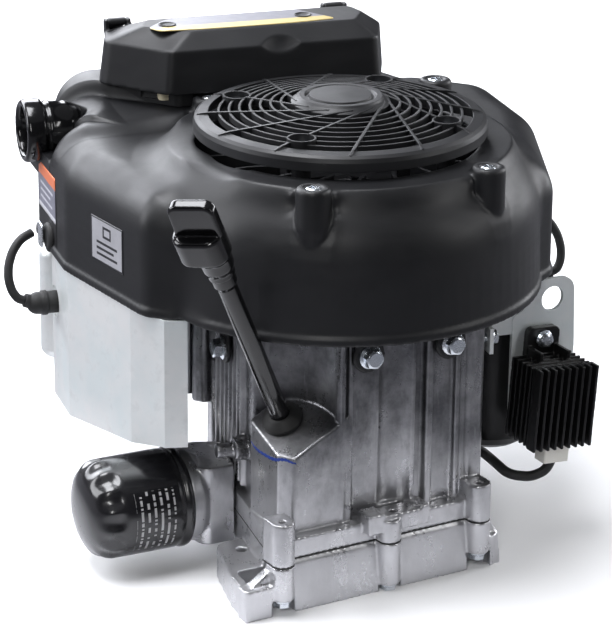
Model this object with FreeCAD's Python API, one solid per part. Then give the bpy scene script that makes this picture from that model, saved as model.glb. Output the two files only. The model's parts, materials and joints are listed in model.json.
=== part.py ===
import FreeCAD, Part
import math
import os

# Vertical-shaft V-twin petrol engine.
# Frame: origin where the crankshaft axis meets the mounting face, +Z up along the crankshaft,
# +Y along the bisector of the two cylinders (air cleaner side). Millimetres.

# ---- driving dimensions ----------------------------------------------------------------------
BORE_R = 41.5
THROW = 34.0
ROD_LENGTH = 119.0
CYLINDER_Z = {"left": 150.0, "right": 130.0}
SEAT = 100.0            # crank axis to the cylinder's seat on the crankcase
DECK = 183.0            # crank axis to the cylinder's top
HEAD_TOP = 215.0
COVER_TOP = 241.0
PLUG_POCKET_R = 10.9    # well in the cylinder head round the spark plug

SEAM_Z = 38.2           # sump to gasket
GASKET = 0.8
COLUMN_R = 8.8          # bolt columns round the crankcase
CASE_TOP = 205.0
FRONT_TURN = 12.0       # front wall and foot are turned from the X axis
FRONT_WALL = -106.0
FRONT_FACE = -118.0

BOLT_CIRCLE_R = 127.0
BOLT_ANGLES = (-141.0, -51.0, 39.0, 129.0)
MOUNT_HOLE_R = 4.25
PTO_R = 12.7
PTO_LENGTH = 80.0
SUMP_JOURNAL_R = 19.0
TOP_JOURNAL_R = 20.0
RUNNING = 0.05          # radial clearance of a shaft in its bearing

RIM_Z = 201.0
DRUM_R = 150.0
PLATFORM_R = 131.0
PLATFORM_Z = 308.0
SCREEN_R = 108.0
SCREEN_OPENING_R = 97.0
WALL = 3.0
DECK_Z = 301.0          # raised rear deck of the housing, under the air cleaner
LOBE_Z = 292.0          # lobes over the cylinders
HUMP_Z = 309.5          # hump over the intake duct
BOSS_R = 12.6           # screw bosses round the housing
SPOKES = 12             # of the rotating screen

FLYWHEEL_R = 104.0
RING_TEETH = 112
PINION_TEETH = 12
STARTER_MODULE = 2.0
STARTER_ANGLE = 0.0
STARTER_R = 34.0

CAM_Y = 63.0
CAM_MODULE = 1.75
CRANK_GEAR_TEETH = 24
CAM_GEAR_TEETH = 48

FILTER_R = 38.0
FILTER_SEAT = (-132.0, -22.5, 47.0)
FILTER_YAW = 8.0

TUBE_BASE = (-71.4, -92.1, 128.0)
TUBE_TOP = (-134.0, -148.8, 265.8)
TUBE_R = 7.2
STICK_R = 2.2
CAP_TURN = -35.0        # the cap's handle about the tube's axis

LEAD_R = 3.5
EYE_BOLT_Y = (-59.0, -75.0)
HARNESS_R = 3.8


# ---- small helpers -----------------------------------------------------------------------------
def vec(x, y, z=0.0):
    return FreeCAD.Vector(x, y, z)


def outline(points, z):
    """Closed wire at height z. Each point is (x, y, r) and its corner is rounded to radius r."""
    corners = [(vec(p[0], p[1], z), p[2] if len(p) > 2 else 0.0) for p in points]
    count = len(corners)
    ends = []
    arcs = []
    for i, (corner, r) in enumerate(corners):
        before = (corners[i - 1][0] - corner).normalize()
        after = (corners[(i + 1) % count][0] - corner).normalize()
        if r <= 0.0:
            ends.append((corner, corner))
            arcs.append(None)
            continue
        half = before.getAngle(after) / 2.0
        reach = r / math.tan(half)
        middle = (before + after).normalize()
        centre = corner + middle * (r / math.sin(half))
        ends.append((corner + before * reach, corner + after * reach))
        arcs.append(centre - middle * r)
    edges = []
    for i in range(count):
        first, last = ends[i]
        if arcs[i] is not None:
            edges.append(Part.Arc(first, arcs[i], last).toShape())
        follow = ends[(i + 1) % count][0]
        if last.distanceToPoint(follow) > 1e-6:
            edges.append(Part.makeLine(last, follow))
    return Part.Wire(edges)


def prism(points, z0, z1):
    return Part.Face(outline(points, z0)).extrude(vec(0, 0, z1 - z0))


def block(x0, x1, y0, y1, z0, z1, r=0.0):
    return prism([(x0, y0, r), (x1, y0, r), (x1, y1, r), (x0, y1, r)], z0, z1)


def disc(r, z0, z1, x=0.0, y=0.0):
    return Part.makeCylinder(r, z1 - z0, vec(x, y, z0))


def ring(r_out, r_in, z0, z1, x=0.0, y=0.0):
    return disc(r_out, z0, z1, x, y).cut(disc(r_in, z0 - 1, z1 + 1, x, y))


def rod(r, start, end):
    a = vec(*start)
    b = vec(*end)
    return Part.makeCylinder(r, a.distanceToPoint(b), a, b - a)


def turned(profile):
    """Solid of revolution about Z from (r, z) points."""
    points = [vec(r, 0, z) for r, z in profile]
    return Part.Face(Part.makePolygon(points + [points[0]])).revolve(vec(0, 0, 0), vec(0, 0, 1), 360)


def join(shapes):
    first = shapes[0]
    return first.fuse(shapes[1:]).removeSplitter() if len(shapes) > 1 else first


def group(shapes):
    return Part.makeCompound(shapes)


def spun(shape, degrees):
    copy = shape.copy()
    copy.rotate(vec(0, 0, 0), vec(0, 0, 1), degrees)
    return copy


def moved(shape, x, y, z):
    copy = shape.copy()
    copy.translate(vec(x, y, z))
    return copy


def polar(r, degrees):
    return r * math.cos(math.radians(degrees)), r * math.sin(math.radians(degrees))


def front(shape):
    """Turn a shape drawn square to the front wall into its place."""
    return spun(shape, FRONT_TURN)


def on_bank(shape, side):
    """Move a shape drawn along +X at height 0 onto a cylinder's axis."""
    placed = spun(shape, 135.0 if side == "left" else 45.0)
    return moved(placed, 0, 0, CYLINDER_Z[side])


def rounded(shape, r, pick):
    """Fillet the edges that pick accepts."""
    return shape.makeFillet(r, [edge for edge in shape.Edges if pick(edge)])


def at_height(z):
    return lambda edge: abs(edge.BoundBox.ZMin - z) < 1e-3 and abs(edge.BoundBox.ZMax - z) < 1e-3


def hex_bolt(r_shank, length, r_flange, across, head):
    """Flange bolt with its seat at z 0, shank below and hexagon head above."""
    corner = across / math.sqrt(3.0)
    hexagon = prism([polar(corner, 60 * k) for k in range(6)], 1.0, head)
    crown = turned([(0, 0), (corner + 0.1, 0), (corner + 0.1, head - 1.2), (across / 2 - 1.2, head),
                    (0, head)])
    flange = turned([(0, 0), (r_flange, 0), (r_flange, 1.2), (across / 2, 2.8), (0, 2.8)])
    return join([hexagon.common(crown), flange, disc(r_shank, -length, 0.5)])


def aimed(shape, position, direction):
    """Turn a shape drawn along +Z so that it points along direction, then move it."""
    copy = shape.copy()
    turn = FreeCAD.Rotation(vec(0, 0, 1), vec(*direction))
    copy.Placement = FreeCAD.Placement(vec(*position), turn)
    return copy


def gear(teeth, module, z0, z1, bore_r, phase=0.0):
    """Spur gear with straight-flanked teeth."""
    pitch = module * teeth / 2.0
    root = pitch - 1.25 * module
    tip = pitch + 0.9 * module
    step = 360.0 / teeth
    points = []
    for k in range(teeth):
        a = phase + k * step
        for r, share in ((root, -0.30), (tip, -0.11), (tip, 0.11), (root, 0.30)):
            points.append(polar(r, a + share * step))
    return prism(points, z0, z1).cut(disc(bore_r, z0 - 1, z1 + 1))


def bent_tube(points, r):
    """Round tube of straight runs joined by arcs as large as the runs allow."""
    path = [vec(*p) for p in points]
    edges = []
    last = path[0]
    for i in range(1, len(path) - 1):
        back = path[i - 1] - path[i]
        ahead = path[i + 1] - path[i]
        reach = 0.45 * min(back.Length, ahead.Length)
        half = back.getAngle(ahead) / 2.0
        radius = reach * math.tan(half)
        back.normalize()
        ahead.normalize()
        middle = (back + ahead).normalize()
        centre = path[i] + middle * (radius / math.sin(half))
        start = path[i] + back * reach
        edges.append(Part.makeLine(last, start))
        last = path[i] + ahead * reach
        edges.append(Part.Arc(start, centre - middle * radius, last).toShape())
    edges.append(Part.makeLine(last, path[-1]))
    spine = Part.Wire(edges)
    section = Part.Wire([Part.makeCircle(r, path[0], path[1] - path[0])])
    return spine.makePipeShell([section], True, False)


def save(name, shape):
    shape.exportStep("parts/" + name + ".step")
    if not shape.isValid():
        print("not valid", name)
    print(name, len(shape.Solids), round(shape.Volume / 1000.0, 1))


# ---- crankcase and sump ------------------------------------------------------------------------
COLUMNS = ((-115.0, -122.0, 12.0, 72.0), (-26.0, -122.0, 5.0, 56.0), (51.0, -122.0, 13.0, 68.0))
SIDE_COLUMNS = ((-99.0, 14.0, 12.0, 68.0), (98.0, 47.0, 12.0, 68.0), (48.0, 113.0, 12.0, 68.0),
                (-48.0, 113.0, 12.0, 68.0))


def case_plan(left, front_wall, right, seat, r):
    """Plan of the crankcase: four walls and the two cylinder seats that meet behind."""
    slope = math.tan(math.radians(FRONT_TURN))
    rise = front_wall / math.cos(math.radians(FRONT_TURN))
    apex = seat * math.sqrt(2.0)
    return [
        (left, apex + left, 3.0),
        (left, rise + slope * left, r),
        (right, rise + slope * right, r),
        (right, apex - right, 3.0),
        (0.0, apex, 12.0),
    ]


def columns_at(z_low, z_high):
    """Bolt columns around the seam, clipped to a height range."""
    pieces = []
    for u, d, low, high in COLUMNS:
        bottom = max(low, z_low)
        top = min(high, z_high)
        web = block(u - COLUMN_R, u + COLUMN_R, d, d + 14, bottom, top)
        pieces.append(front(disc(COLUMN_R, bottom, top, u, d).fuse(web)))
    for x, y, low, high in SIDE_COLUMNS:
        inward = vec(-x, -y, 0).normalize() * 14.0
        foot = disc(COLUMN_R, max(low, z_low), min(high, z_high), x, y)
        bridge = Part.makeBox(16.0, 2 * COLUMN_R - 1, min(high, z_high) - max(low, z_low))
        bridge.translate(vec(0, -COLUMN_R + 0.5, max(low, z_low)))
        bridge.rotate(vec(0, 0, 0), vec(0, 0, 1), math.degrees(math.atan2(inward.y, inward.x)))
        bridge.translate(vec(x, y, 0))
        pieces.append(foot.fuse(bridge))
    return pieces


def column_centres():
    turn = math.radians(FRONT_TURN)
    centres = []
    for u, d, low, high in COLUMNS:
        centres.append((u * math.cos(turn) - d * math.sin(turn),
                        u * math.sin(turn) + d * math.cos(turn), low, high))
    return centres + list(SIDE_COLUMNS)


def front_ribs():
    """Raised ribs and the corner pilaster of the front wall, drawn square to it."""
    bottom, top = 50.0, CASE_TOP - 1.0
    ribs = []
    for u0, u1, d in ((-61.5, -57.5, -111.0), (-54.0, -51.0, -110.0), (-5.0, 1.0, -111.5),
                      (10.5, 16.0, -111.5),
                      (36.0, 39.5, -110.5), (42.0, 45.0, -109.5)):
        ribs.append(prism([(u0 - 1.5, FRONT_WALL + 1), (u0, d, 1.0), (u1, d, 1.0),
                           (u1 + 1.5, FRONT_WALL + 1)], bottom, top))
    ribs.append(prism([(45.0, FRONT_WALL + 1), (48.0, -110.5, 4.0), (62.0, -110.5, 7.0), (63.5, -90.0)],
                      bottom, top))
    return ribs


def side_ribs():
    """Vertical ribs on the left and right walls."""
    ribs = []
    for y in (-47.0, -38.0, -27.0, -16.5, -6.0, 5.0, 17.0, 29.0):
        ribs.append(prism([(-84, y - 3.2), (-90.5, y - 1.6, 1.0), (-90.5, y + 1.6, 1.0),
                           (-84, y + 3.2)], 60, CASE_TOP - 8))
        ribs.append(prism([(82, y - 3.2), (89.5, y - 1.6, 1.0), (89.5, y + 1.6, 1.0), (82, y + 3.2)],
                          60, CASE_TOP - 8))
    return ribs


def tube_boss():
    """Cast block at the front left corner that carries the dipstick tube."""
    body = front(prism([(-106, -56, 3), (-106, -98, 3), (-99, -110, 3), (-52, -110), (-52, -56)], 50, 175))
    axis = vec(*TUBE_TOP) - vec(*TUBE_BASE)
    keep = aimed(Part.makeBox(200, 200, 120, vec(-100, -100, -120)), TUBE_BASE, tuple(axis))
    return body.common(keep)


def bank_pad(side):
    pad = prism([(SEAT - 16, -50, 6), (SEAT, -50, 6), (SEAT, 50, 6), (SEAT - 16, 50, 6)], -52, 50)
    return on_bank(pad, side)


def crankcase():
    base = SEAM_Z + GASKET
    wall = prism(case_plan(-86, FRONT_WALL, 84, SEAT, 8.0), base, CASE_TOP)
    scoop = Part.makeCylinder(64, 200, vec(-100, -130, 54))
    wall = wall.cut(scoop)
    flange = prism(case_plan(-92, FRONT_FACE, 90, SEAT - 2, 12.0), base, 54)
    niche = front(Part.makeCylinder(17, 128, vec(-17.2, -119.5, 60)).fuse(Part.makeSphere(17,
            vec(-17.2, -119.5, 188))))
    lug = front(block(-46, 6, -127, -110, 47, 62, 1.5).fuse(disc(COLUMN_R, base, 50, -26, -122)))
    stub = rod(5.5, (-110, -52, 92), (-84, -52, 92)).fuse(rod(9.0, (-97, -52, 92), (-84, -52, 92)))
    clip = rod(6.5, (80, -43, 64), (91, -43, 64))
    solids = [wall, flange, lug, stub, clip, tube_boss(), bank_pad("left"), bank_pad("right")]
    solids += columns_at(base, 300) + front_ribs_in_place() + side_ribs()
    body = join(solids).cut(niche)
    room = prism([(-79, 44, 8), (-79, -52, 12), (-35, -99, 12), (76, -80, 12), (76, 50, 8),
                  (0, 131, 10)], base - 1, 197)
    body = body.cut(room)
    for side in ("left", "right"):
        body = body.cut(on_bank(rod(46.2, (60, 0, 0), (SEAT + 5, 0, 0)), side))
    body = body.fuse(ring(40, TOP_JOURNAL_R + 6, 186, 197.5)).cut(disc(TOP_JOURNAL_R + 6, 180, 210))
    axis = vec(*TUBE_TOP) - vec(*TUBE_BASE)
    body = body.cut(Part.makeCylinder(TUBE_R + 0.05, 25, vec(*TUBE_BASE) - axis * (22 / axis.Length), axis))
    body = body.cut(Part.makeCylinder(4.5, 90, vec(*TUBE_BASE) - axis * (85 / axis.Length), axis))
    for x, y, low, high in column_centres():
        body = body.cut(disc(3.4, base - 1, high - 6, x, y))
        if high > 62:
            body = body.cut(disc(2.6, high - 7, high + 1, x, y))
    body = body.cut(front(disc(3.0, 52, 70, -22, -120)))
    for position, direction, _ in HOUSING_BOLTS:
        body = body.cut(bolt_hole(position, direction))
    for y in EYE_BOLT_Y:
        body = body.cut(rod(3.05, (60, y, 168), (100, y, 168)))
    body = body.fuse(camshaft_bearing())
    return body.removeSplitter()


def front_ribs_in_place():
    return [front(rib) for rib in front_ribs()]


def sump():
    """Lower casting: oil pan, shaft boss, bolt columns, front foot web and four mounting feet."""
    body = prism(case_plan(-92, FRONT_FACE, 90, SEAT - 2, 12.0), 7, SEAM_Z)
    web = front(Part.Face(Part.makePolygon([vec(-146, y, z) for y, z in (
        (-125, 0), (-119, 36), (-112, 36), (-112, 0), (-125, 0))])).extrude(vec(216, 0, 0)))
    left_cut = front(Part.Face(Part.makePolygon([vec(x, -140, z) for x, z in (
        (-150, 24), (-141, 24), (-120, 36.5), (-150, 40), (-150, 24))])).extrude(vec(0, 60, 0)))
    right_cut = front(Part.Face(Part.makePolygon([vec(x, -140, z) for x, z in (
        (62, 38), (70.5, 22), (80, 22), (80, 40), (62, 38))])).extrude(vec(0, 60, 0)))
    foot_plan = [(-146, -125, 3), (-112, -125), (-84, -100), (-90, -40, 8), (-126, -40, 12), (-142, -95, 6)]
    left_foot = front(prism(foot_plan, 0, 24))
    left_gusset = front(prism([(-141, -97), (-136, -97), (-88, -60), (-93, -56)], 0, 24))
    pocket = front(prism([(-138, -112, 3), (-96, -112, 3), (-96, -92, 3), (-134, -90, 3)], 6, 60))
    solids = [body, web.cut(left_cut).cut(right_cut), left_foot, left_gusset]
    for angle in BOLT_ANGLES:
        x, y = polar(BOLT_CIRCLE_R, angle)
        arm = spun(block(70, BOLT_CIRCLE_R, -11, 11, 0, 24), angle)
        solids += [disc(14, 0, 24, x, y), arm]
    solids += columns_at(0, SEAM_Z)
    body = join(solids).cut(pocket)
    room = prism(case_plan(-79, -103, 76, SEAT - 12, 10.0), 16, 60)
    under = prism(case_plan(-70, -96, 68, SEAT - 22, 10.0), -5, 8)
    body = body.cut(room).cut(under.cut(disc(60, -6, 9)))
    body = body.fuse(turned([(0, 2), (60, 2), (60, 16), (34, 18), (30, 34), (0, 34)]).cut(disc(52, 0,
            7).cut(disc(34, 0, 7))))
    body = body.cut(disc(SUMP_JOURNAL_R + RUNNING, -5, 60)).cut(disc(26, -5, 10.5))
    for angle in BOLT_ANGLES:
        x, y = polar(BOLT_CIRCLE_R, angle)
        body = body.cut(disc(MOUNT_HOLE_R, -5, 60, x, y))
    for x, y, low, high in column_centres():
        body = body.cut(disc(4.4, -5, 60, x, y)).cut(disc(9.6, -5, low, x, y))
    return body.removeSplitter()


def sump_gasket():
    plan = prism(case_plan(-92, FRONT_FACE, 90, SEAT - 2, 12.0), SEAM_Z, SEAM_Z + GASKET)
    room = prism(case_plan(-80, -104, 77, SEAT - 11, 10.0), 30, 60)
    gasket = join([plan] + columns_at(SEAM_Z, SEAM_Z + GASKET)).cut(room)
    for x, y, low, high in column_centres():
        gasket = gasket.cut(disc(4.4, 30, 60, x, y))
    return gasket


def sump_bolts():
    bolts = []
    for x, y, low, high in column_centres():
        bolt = hex_bolt(3.35, high - 8 - low, 7.2, 11.0, 6.5)
        bolts.append(aimed(bolt, (x, y, low), (0, 0, -1)))
    return group(bolts)


# ---- cylinders ---------------------------------------------------------------------------------
def cylinder(side):
    """Finned barrel with a square base flange and a spigot that enters the crankcase."""
    profile = [(46, 76), (46, SEAT + 7), (47.5, SEAT + 7)]
    x = SEAT + 13.0
    while x < DECK - 3:
        profile += [(47.5, x), (60, x), (60, x + 2.2), (47.5, x + 2.2)]
        x += 7.4
    profile += [(47.5, DECK), (BORE_R, DECK), (BORE_R, 76)]
    barrel = turned(profile)
    barrel.rotate(vec(0, 0, 0), vec(0, 1, 0), 90)
    barrel = barrel.common(block(70, DECK + 1, -54, 54, -51, 51))
    flange = block(SEAT, SEAT + 7, -48, 48, -48, 47, 2).cut(rod(46.0, (90, 0, 0), (120, 0, 0)))
    return on_bank(barrel.fuse(flange), side)


def head_body(side):
    """Cylinder head with fins, ports on its inner side and a tapped plug hole on its outer side."""
    outer = -1.0 if side == "left" else 1.0
    solids = [block(DECK, DECK + 12, -46, 46, -48, 48, 4), block(DECK + 24, HEAD_TOP, -45, 45, -46, 46, 4)]
    solids.append(block(DECK, HEAD_TOP, -30, 30, -40, 40, 4))
    for z in range(-44, 46, 8):
        solids.append(block(DECK + 4, HEAD_TOP - 3, -50, 50, z, z + 2.4, 2))
    port = rod(15, (DECK + 16, outer * 30, -6), (DECK + 16, outer * 58, -6))
    exhaust = rod(15.5, (DECK + 16, 0, -30), (DECK + 16, 0, -58))
    body = join(solids + [port, exhaust])
    body = body.cut(rod(10.5, (DECK + 16, outer * 20, -6), (DECK + 16, outer * 60, -6)))
    body = body.cut(rod(12, (DECK + 16, 0, -20), (DECK + 16, 0, -60)))
    body = body.cut(rod(BORE_R - 3, (DECK - 1, 0, 0), (DECK + 6, 0, 0)))
    return body


def cylinder_head(side):
    body = on_bank(head_body(side), side)
    start, end = plug_line(side)
    body = body.cut(rod(PLUG_POCKET_R, end, start)).cut(rod(6.05, start, plug_tip(side)))
    return max(body.Solids, key=lambda solid: solid.Volume)




def plug_line(side):
    """Plug seat and terminal end; the plug points away from the engine along X."""
    sign = -1.0 if side == "left" else 1.0
    z = CYLINDER_Z[side] + 12.0
    return (sign * 168.0, 105.0, z), (sign * 222.0, 105.0, z)


def plug_tip(side):
    start, end = plug_line(side)
    return start[0] - math.copysign(7.8, start[0]), start[1], start[2]


def rocker_cover(side):
    body = block(HEAD_TOP + 0.0, COVER_TOP, -43, 43, -46, 46, 12)
    body = rounded(body, 9.0,
                   lambda e: abs(e.BoundBox.XMin - COVER_TOP) < 1e-3 and abs(e.BoundBox.XMax - COVER_TOP) < 1e-3
                   and e.BoundBox.ZLength + e.BoundBox.YLength > 5)
    lip = block(HEAD_TOP, HEAD_TOP + 5, -46, 46, -48, 48, 2)
    body = join([body, lip]).cut(block(HEAD_TOP - 1, COVER_TOP - 3, -38, 38, -41, 41, 2))
    return on_bank(body, side)


def spark_plug(side):
    start, end = plug_line(side)
    sign = math.copysign(1.0, start[0])
    hexagon = aimed(prism([polar(9.2, 60 * k) for k in range(6)], 0, 9),
                    (start[0] + sign * 1.0, start[1], start[2]), (sign, 0, 0))
    insulator = rod(4.4, (start[0] + sign * 9, start[1], start[2]),
                    (start[0] + sign * 30, start[1], start[2]))
    thread = rod(6.0, plug_tip(side), (start[0] + sign * 2, start[1], start[2]))
    seat = rod(8.0, start, (start[0] + sign * 2, start[1], start[2]))
    return join([hexagon, insulator, thread, seat])


def plug_boot(side):
    start, end = plug_line(side)
    sign = math.copysign(1.0, start[0])
    y, z = start[1], start[2]
    sleeve = rod(8.6, (start[0] + sign * 14, y, z), (start[0] + sign * 38, y, z))
    collar = rod(9.6, (start[0] + sign * 31, y, z), (start[0] + sign * 35, y, z))
    cap = Part.makeSphere(8.6, vec(start[0] + sign * 38, y, z))
    neck = rod(5.4, (start[0] + sign * 38, y, z), (start[0] + sign * 48, y, z + 3.33))
    boot = join([sleeve, collar, cap, neck])
    return boot.cut(rod(4.45, (start[0] + sign * 5, y, z), (start[0] + sign * 30, y, z)))


LEAD_ROUTE = (
    (48.02, 0, 3.337), (53.1, 0, 5.03), (57, 2.5, 10.8), (58.8, 6, 19.5), (57.5, 10, 29.5), (53, 14.5,
            39), (45.5, 19.5, 46), (36.0, 24.0, 48.5),
)


def plug_lead(side):
    start, end = plug_line(side)
    sign = math.copysign(1.0, start[0])
    points = [(start[0] + sign * a, start[1] + b, start[2] + c) for a, b, c in LEAD_ROUTE]
    return bent_tube(points, LEAD_R)


SHROUD_PLANS = {
    "left": [(-192, 114), (-192, 64), (-167, -26), (-150, -57), (-134, -62)],
    "right": [(188, 112), (188, 70), (166, 24), (158, 20)],
}
SHROUD_LOW = {"left": 84.0, "right": 66.0}


def sheet(points, thickness, z0, z1, inside):
    """Bent sheet: the outline is its outer face and it is thickened towards the inside point."""
    path = [vec(x, y, z0) for x, y in points]
    normals = []
    for start, end in zip(path, path[1:]):
        along = (end - start).normalize()
        side = vec(-along.y, along.x)
        normals.append(side if side.dot(vec(inside[0], inside[1], z0) - start) > 0 else side * -1)
    inner = []
    for k, point in enumerate(path):
        before = normals[max(k - 1, 0)]
        after = normals[min(k, len(normals) - 1)]
        middle = (before + after).normalize()
        inner.append(point + middle * (thickness / middle.dot(after)))
    ring_points = path + list(reversed(inner))
    return Part.Face(Part.makePolygon(ring_points + [path[0]])).extrude(vec(0, 0, z1 - z0))


def cylinder_shroud(side):
    """Zinc-plated cooling-air sheet round the front of a cylinder."""
    sign = -1.0 if side == "left" else 1.0
    wall = sheet(SHROUD_PLANS[side], 1.5, SHROUD_LOW[side], RIM_Z - 1.1, (0, 100))
    start, end = plug_line(side)
    wall = wall.cut(rod(12.5, (sign * 150, start[1], start[2]), (sign * 230, start[1], start[2])))
    if side == "left":
        rising = [(-230, 70), (-100, 70), (-100, 104), (-152, 101), (-168, 95), (-192, 84), (-230, 84),
                  (-230, 70)]
        low = Part.Face(Part.makePolygon([vec(x, -80, z) for x, z in rising])).extrude(vec(0, 220, 0))
        wall = wall.cut(low)
    return wall


# ---- blower housing ----------------------------------------------------------------------------
HOUSING_BOSSES = ((-60, -122, 312.5), (74, -110, 312.5), (-66, 118, 311.0), (110, 98, 317.0))
HOUSING_BOLTS = (
    ((-16.3, -122.0, 182.0), (0.2079, -0.9781, 0.0), 13.0),
    ((51.2, -107.5, 180.0), (0.2079, -0.9781, 0.0), 13.0),
    ((-95.5, -20.0, 160.0), (-1.0, 0.0, 0.0), 12.0),
)


def bolt_hole(position, direction):
    start = tuple(p - 26.0 * d for p, d in zip(position, direction))
    return rod(4.05, start, tuple(p + 30.0 * d for p, d in zip(position, direction)))


def lobe_plan(inset):
    """Left and right lobes over the cylinders, with the rear wall."""
    i = inset
    return [
        (-110, -52 + i, 4),
        (-140 + i, -60 + i, 10),
        (-161 + i, -46 + i, 22),
        (-192 + i, 66, 40),
        (-192 + i, 168 - i, 34),
        (-132, 216 - i, 40),
        (0, 204 - i, 60),
        (132, 216 - i, 40),
        (187 - i, 167 - i, 34),
        (187 - i, 76, 40),
        (153 - i, -44 + i, 22),
        (132 - i, -62 + i, 10),
        (105, -52 + i, 4),
    ]


def housing_form(inset):
    """Outer form of the blower housing, shrunk by inset."""
    i = inset
    lobes = prism(lobe_plan(i), RIM_Z - 1 - 4 * i, LOBE_Z - i)
    lobes = rounded(lobes, 30.0, at_height(LOBE_Z - i))
    deck = prism([(-150 + i, 118 + i, 16), (-150 + i, 186 - i, 16), (-128, 211 - i, 30),
                  (0, 200 - i, 60), (92, 202 - i, 24),
                  (110 - i, 160 - i, 20), (110 - i, 112 + i, 16)], 250, DECK_Z - i)
    deck = rounded(deck, 8.0, at_height(DECK_Z - i))
    hump = prism([(-189 + i, 132 + i, 14), (-147 - i, 134 + i, 9), (-147 - i, 206 - i, 11),
                  (-189 + i, 174 - i, 11)], 250, HUMP_Z - i)
    hump = rounded(hump, 9.0, at_height(HUMP_Z - i))
    drum = turned([(0, RIM_Z - 1 - 4 * i), (DRUM_R - i, RIM_Z - 1 - 4 * i), (DRUM_R - 2 - i, 262), (0, 262)])
    shoulder = turned([(0, 250), (DRUM_R - 2 - i, 250), (DRUM_R - 2 - i, 262),
                       (DRUM_R - 4 - i, 273 - i), (DRUM_R - 8 - i, 282 - i),
                       (DRUM_R - 13 - i, 289 - i), (PLATFORM_R + 1.5 - i, 293.5 - i), (PLATFORM_R - i,
                               297 - i),
                       (PLATFORM_R - i, PLATFORM_Z - 4 - i), (PLATFORM_R - 1.5 - i, PLATFORM_Z - 1.2 - i),
                       (PLATFORM_R - 4 - i, PLATFORM_Z - i), (0, PLATFORM_Z - i)])
    return join([lobes, deck, hump, drum, shoulder])


def blower_housing():
    shell = housing_form(0.0)
    lip = prism([(x * 1.012, y * 1.012, r) for x, y, r in lobe_plan(0.0)], RIM_Z - 1, RIM_Z + 5)
    lip = lip.fuse(disc(DRUM_R + 1.6, RIM_Z - 1, RIM_Z + 5))
    solids = [shell, lip]
    for x, y, top in HOUSING_BOSSES:
        r = BOSS_R
        boss = turned([(0, 265), (5, 266), (r - 2, 272), (r, 284), (r, top - 1.5), (r - 1.5, top), (0, top)])
        solids.append(moved(boss, x, y, 0))
    body = join(solids).cut(housing_form(WALL))
    inside = prism(lobe_plan(1.0), 100, 230).fuse(disc(DRUM_R - 1, 100, 230))
    for position, direction, r in HOUSING_BOLTS:
        body = body.fuse(housing_lug(position, direction, r).common(inside))
    body = body.cut(disc(SCREEN_R - 6, 250, 340)).cut(disc(31, 250, 340, *CARB))
    body = body.cut(rod(22.9, (-140, 158, 283), (-230, 158, 283)))
    for x, y, top in HOUSING_BOSSES:
        body = body.cut(disc(2.6, top - 25, top + 5, x, y)).cut(disc(6.2, top - 3.2, top + 5, x, y))
    for position, direction, _ in HOUSING_BOLTS:
        body = body.cut(bolt_hole(position, direction))
    return body.removeSplitter()


def housing_lug(position, direction, r):
    """Lug that hangs under the rim, takes a flange bolt and is held to the wall by a shelf."""
    x, y, z = position
    reach = 31.0 if abs(direction[0]) < 0.5 else 78.0
    pad = Part.makeCylinder(r, 4.0, vec(0, -4.0, 0), vec(0, 1, 0))
    strip = block(-r + 2, r - 2, -4.0, 0, 0, 209.0 - z)
    shelf = block(-r + 2, r - 2, -4.0, reach, 206.0 - z, 209.0 - z)
    lug = join([pad, strip, shelf])
    lug.rotate(vec(0, 0, 0), vec(0, 0, 1), math.degrees(math.atan2(direction[1], direction[0])) - 90)
    return moved(lug, x, y, z)


def housing_screws():
    screws = []
    for x, y, top in HOUSING_BOSSES:
        head = turned([(0, top - 3.1), (5.6, top - 3.1), (5.6, top - 0.9), (4.4, top - 0.1), (0, top - 0.1)])
        slot = join([block(-3.2, 3.2, -0.5, 0.5, top - 1.6, top + 1),
                     block(-0.5, 0.5, -3.2, 3.2, top - 1.6, top + 1)])
        screws.append(moved(head.fuse(disc(2.5, top - 18, top - 3)).cut(slot), x, y, 0))
    return group(screws)


def housing_bolts():
    bolts = []
    for position, direction, _ in HOUSING_BOLTS:
        bolts.append(aimed(hex_bolt(3.95, 22, 8.9, 13.0, 8.5), position, direction))
    return group(bolts)


# ---- air cleaner -------------------------------------------------------------------------------
COVER_PLAN = ((-97, 120, 8), (73.5, 120, 8), (90, 165, 14), (84, 208, 14), (-128, 208, 18), (-140, 168, 14))
BASE_PLAN = ((-88, 127, 8), (66, 127, 8), (80, 165, 14), (74, 201, 12), (-118, 201, 16), (-128, 168, 12))
COVER_LOW = 313.0
COVER_HIGH = 358.0
CARB = (-20.0, 164.0)


def cover_form(inset):
    i = inset
    low = [(x * (1 - i / 110.0) - i * 0.2, 164 + (y - 164) * (1 - i / 44.0), r) for x, y, r in COVER_PLAN]
    high = [(x * 0.97 * (1 - i / 110.0), 166 + (y - 166) * 0.94 * (1 - i / 44.0), r) for x, y,
            r in COVER_PLAN]
    skirt = Part.makeLoft([outline(low, COVER_LOW - (1 if i else 0)), outline(high, 346 - i)], True, True)
    top = [(x * 0.80, 150 + (y - 150) * 0.50, 7) for x, y, r in high]
    crown = Part.makeLoft([outline(high, 346 - i), outline(top, COVER_HIGH - i)], True, True)
    return skirt.fuse(crown)


def air_cleaner_cover():
    """Hollow cover with a finger dish in its front upper edge."""
    dish = (-7, 92, 366)
    body = cover_form(0.0).removeSplitter().cut(Part.makeSphere(40, vec(*dish)))
    body = body.cut(cover_form(3.0).cut(Part.makeSphere(43, vec(*dish))))
    body = body.fuse(latch_ears("left") + latch_ears("right"))
    return body.removeSplitter()


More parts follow.
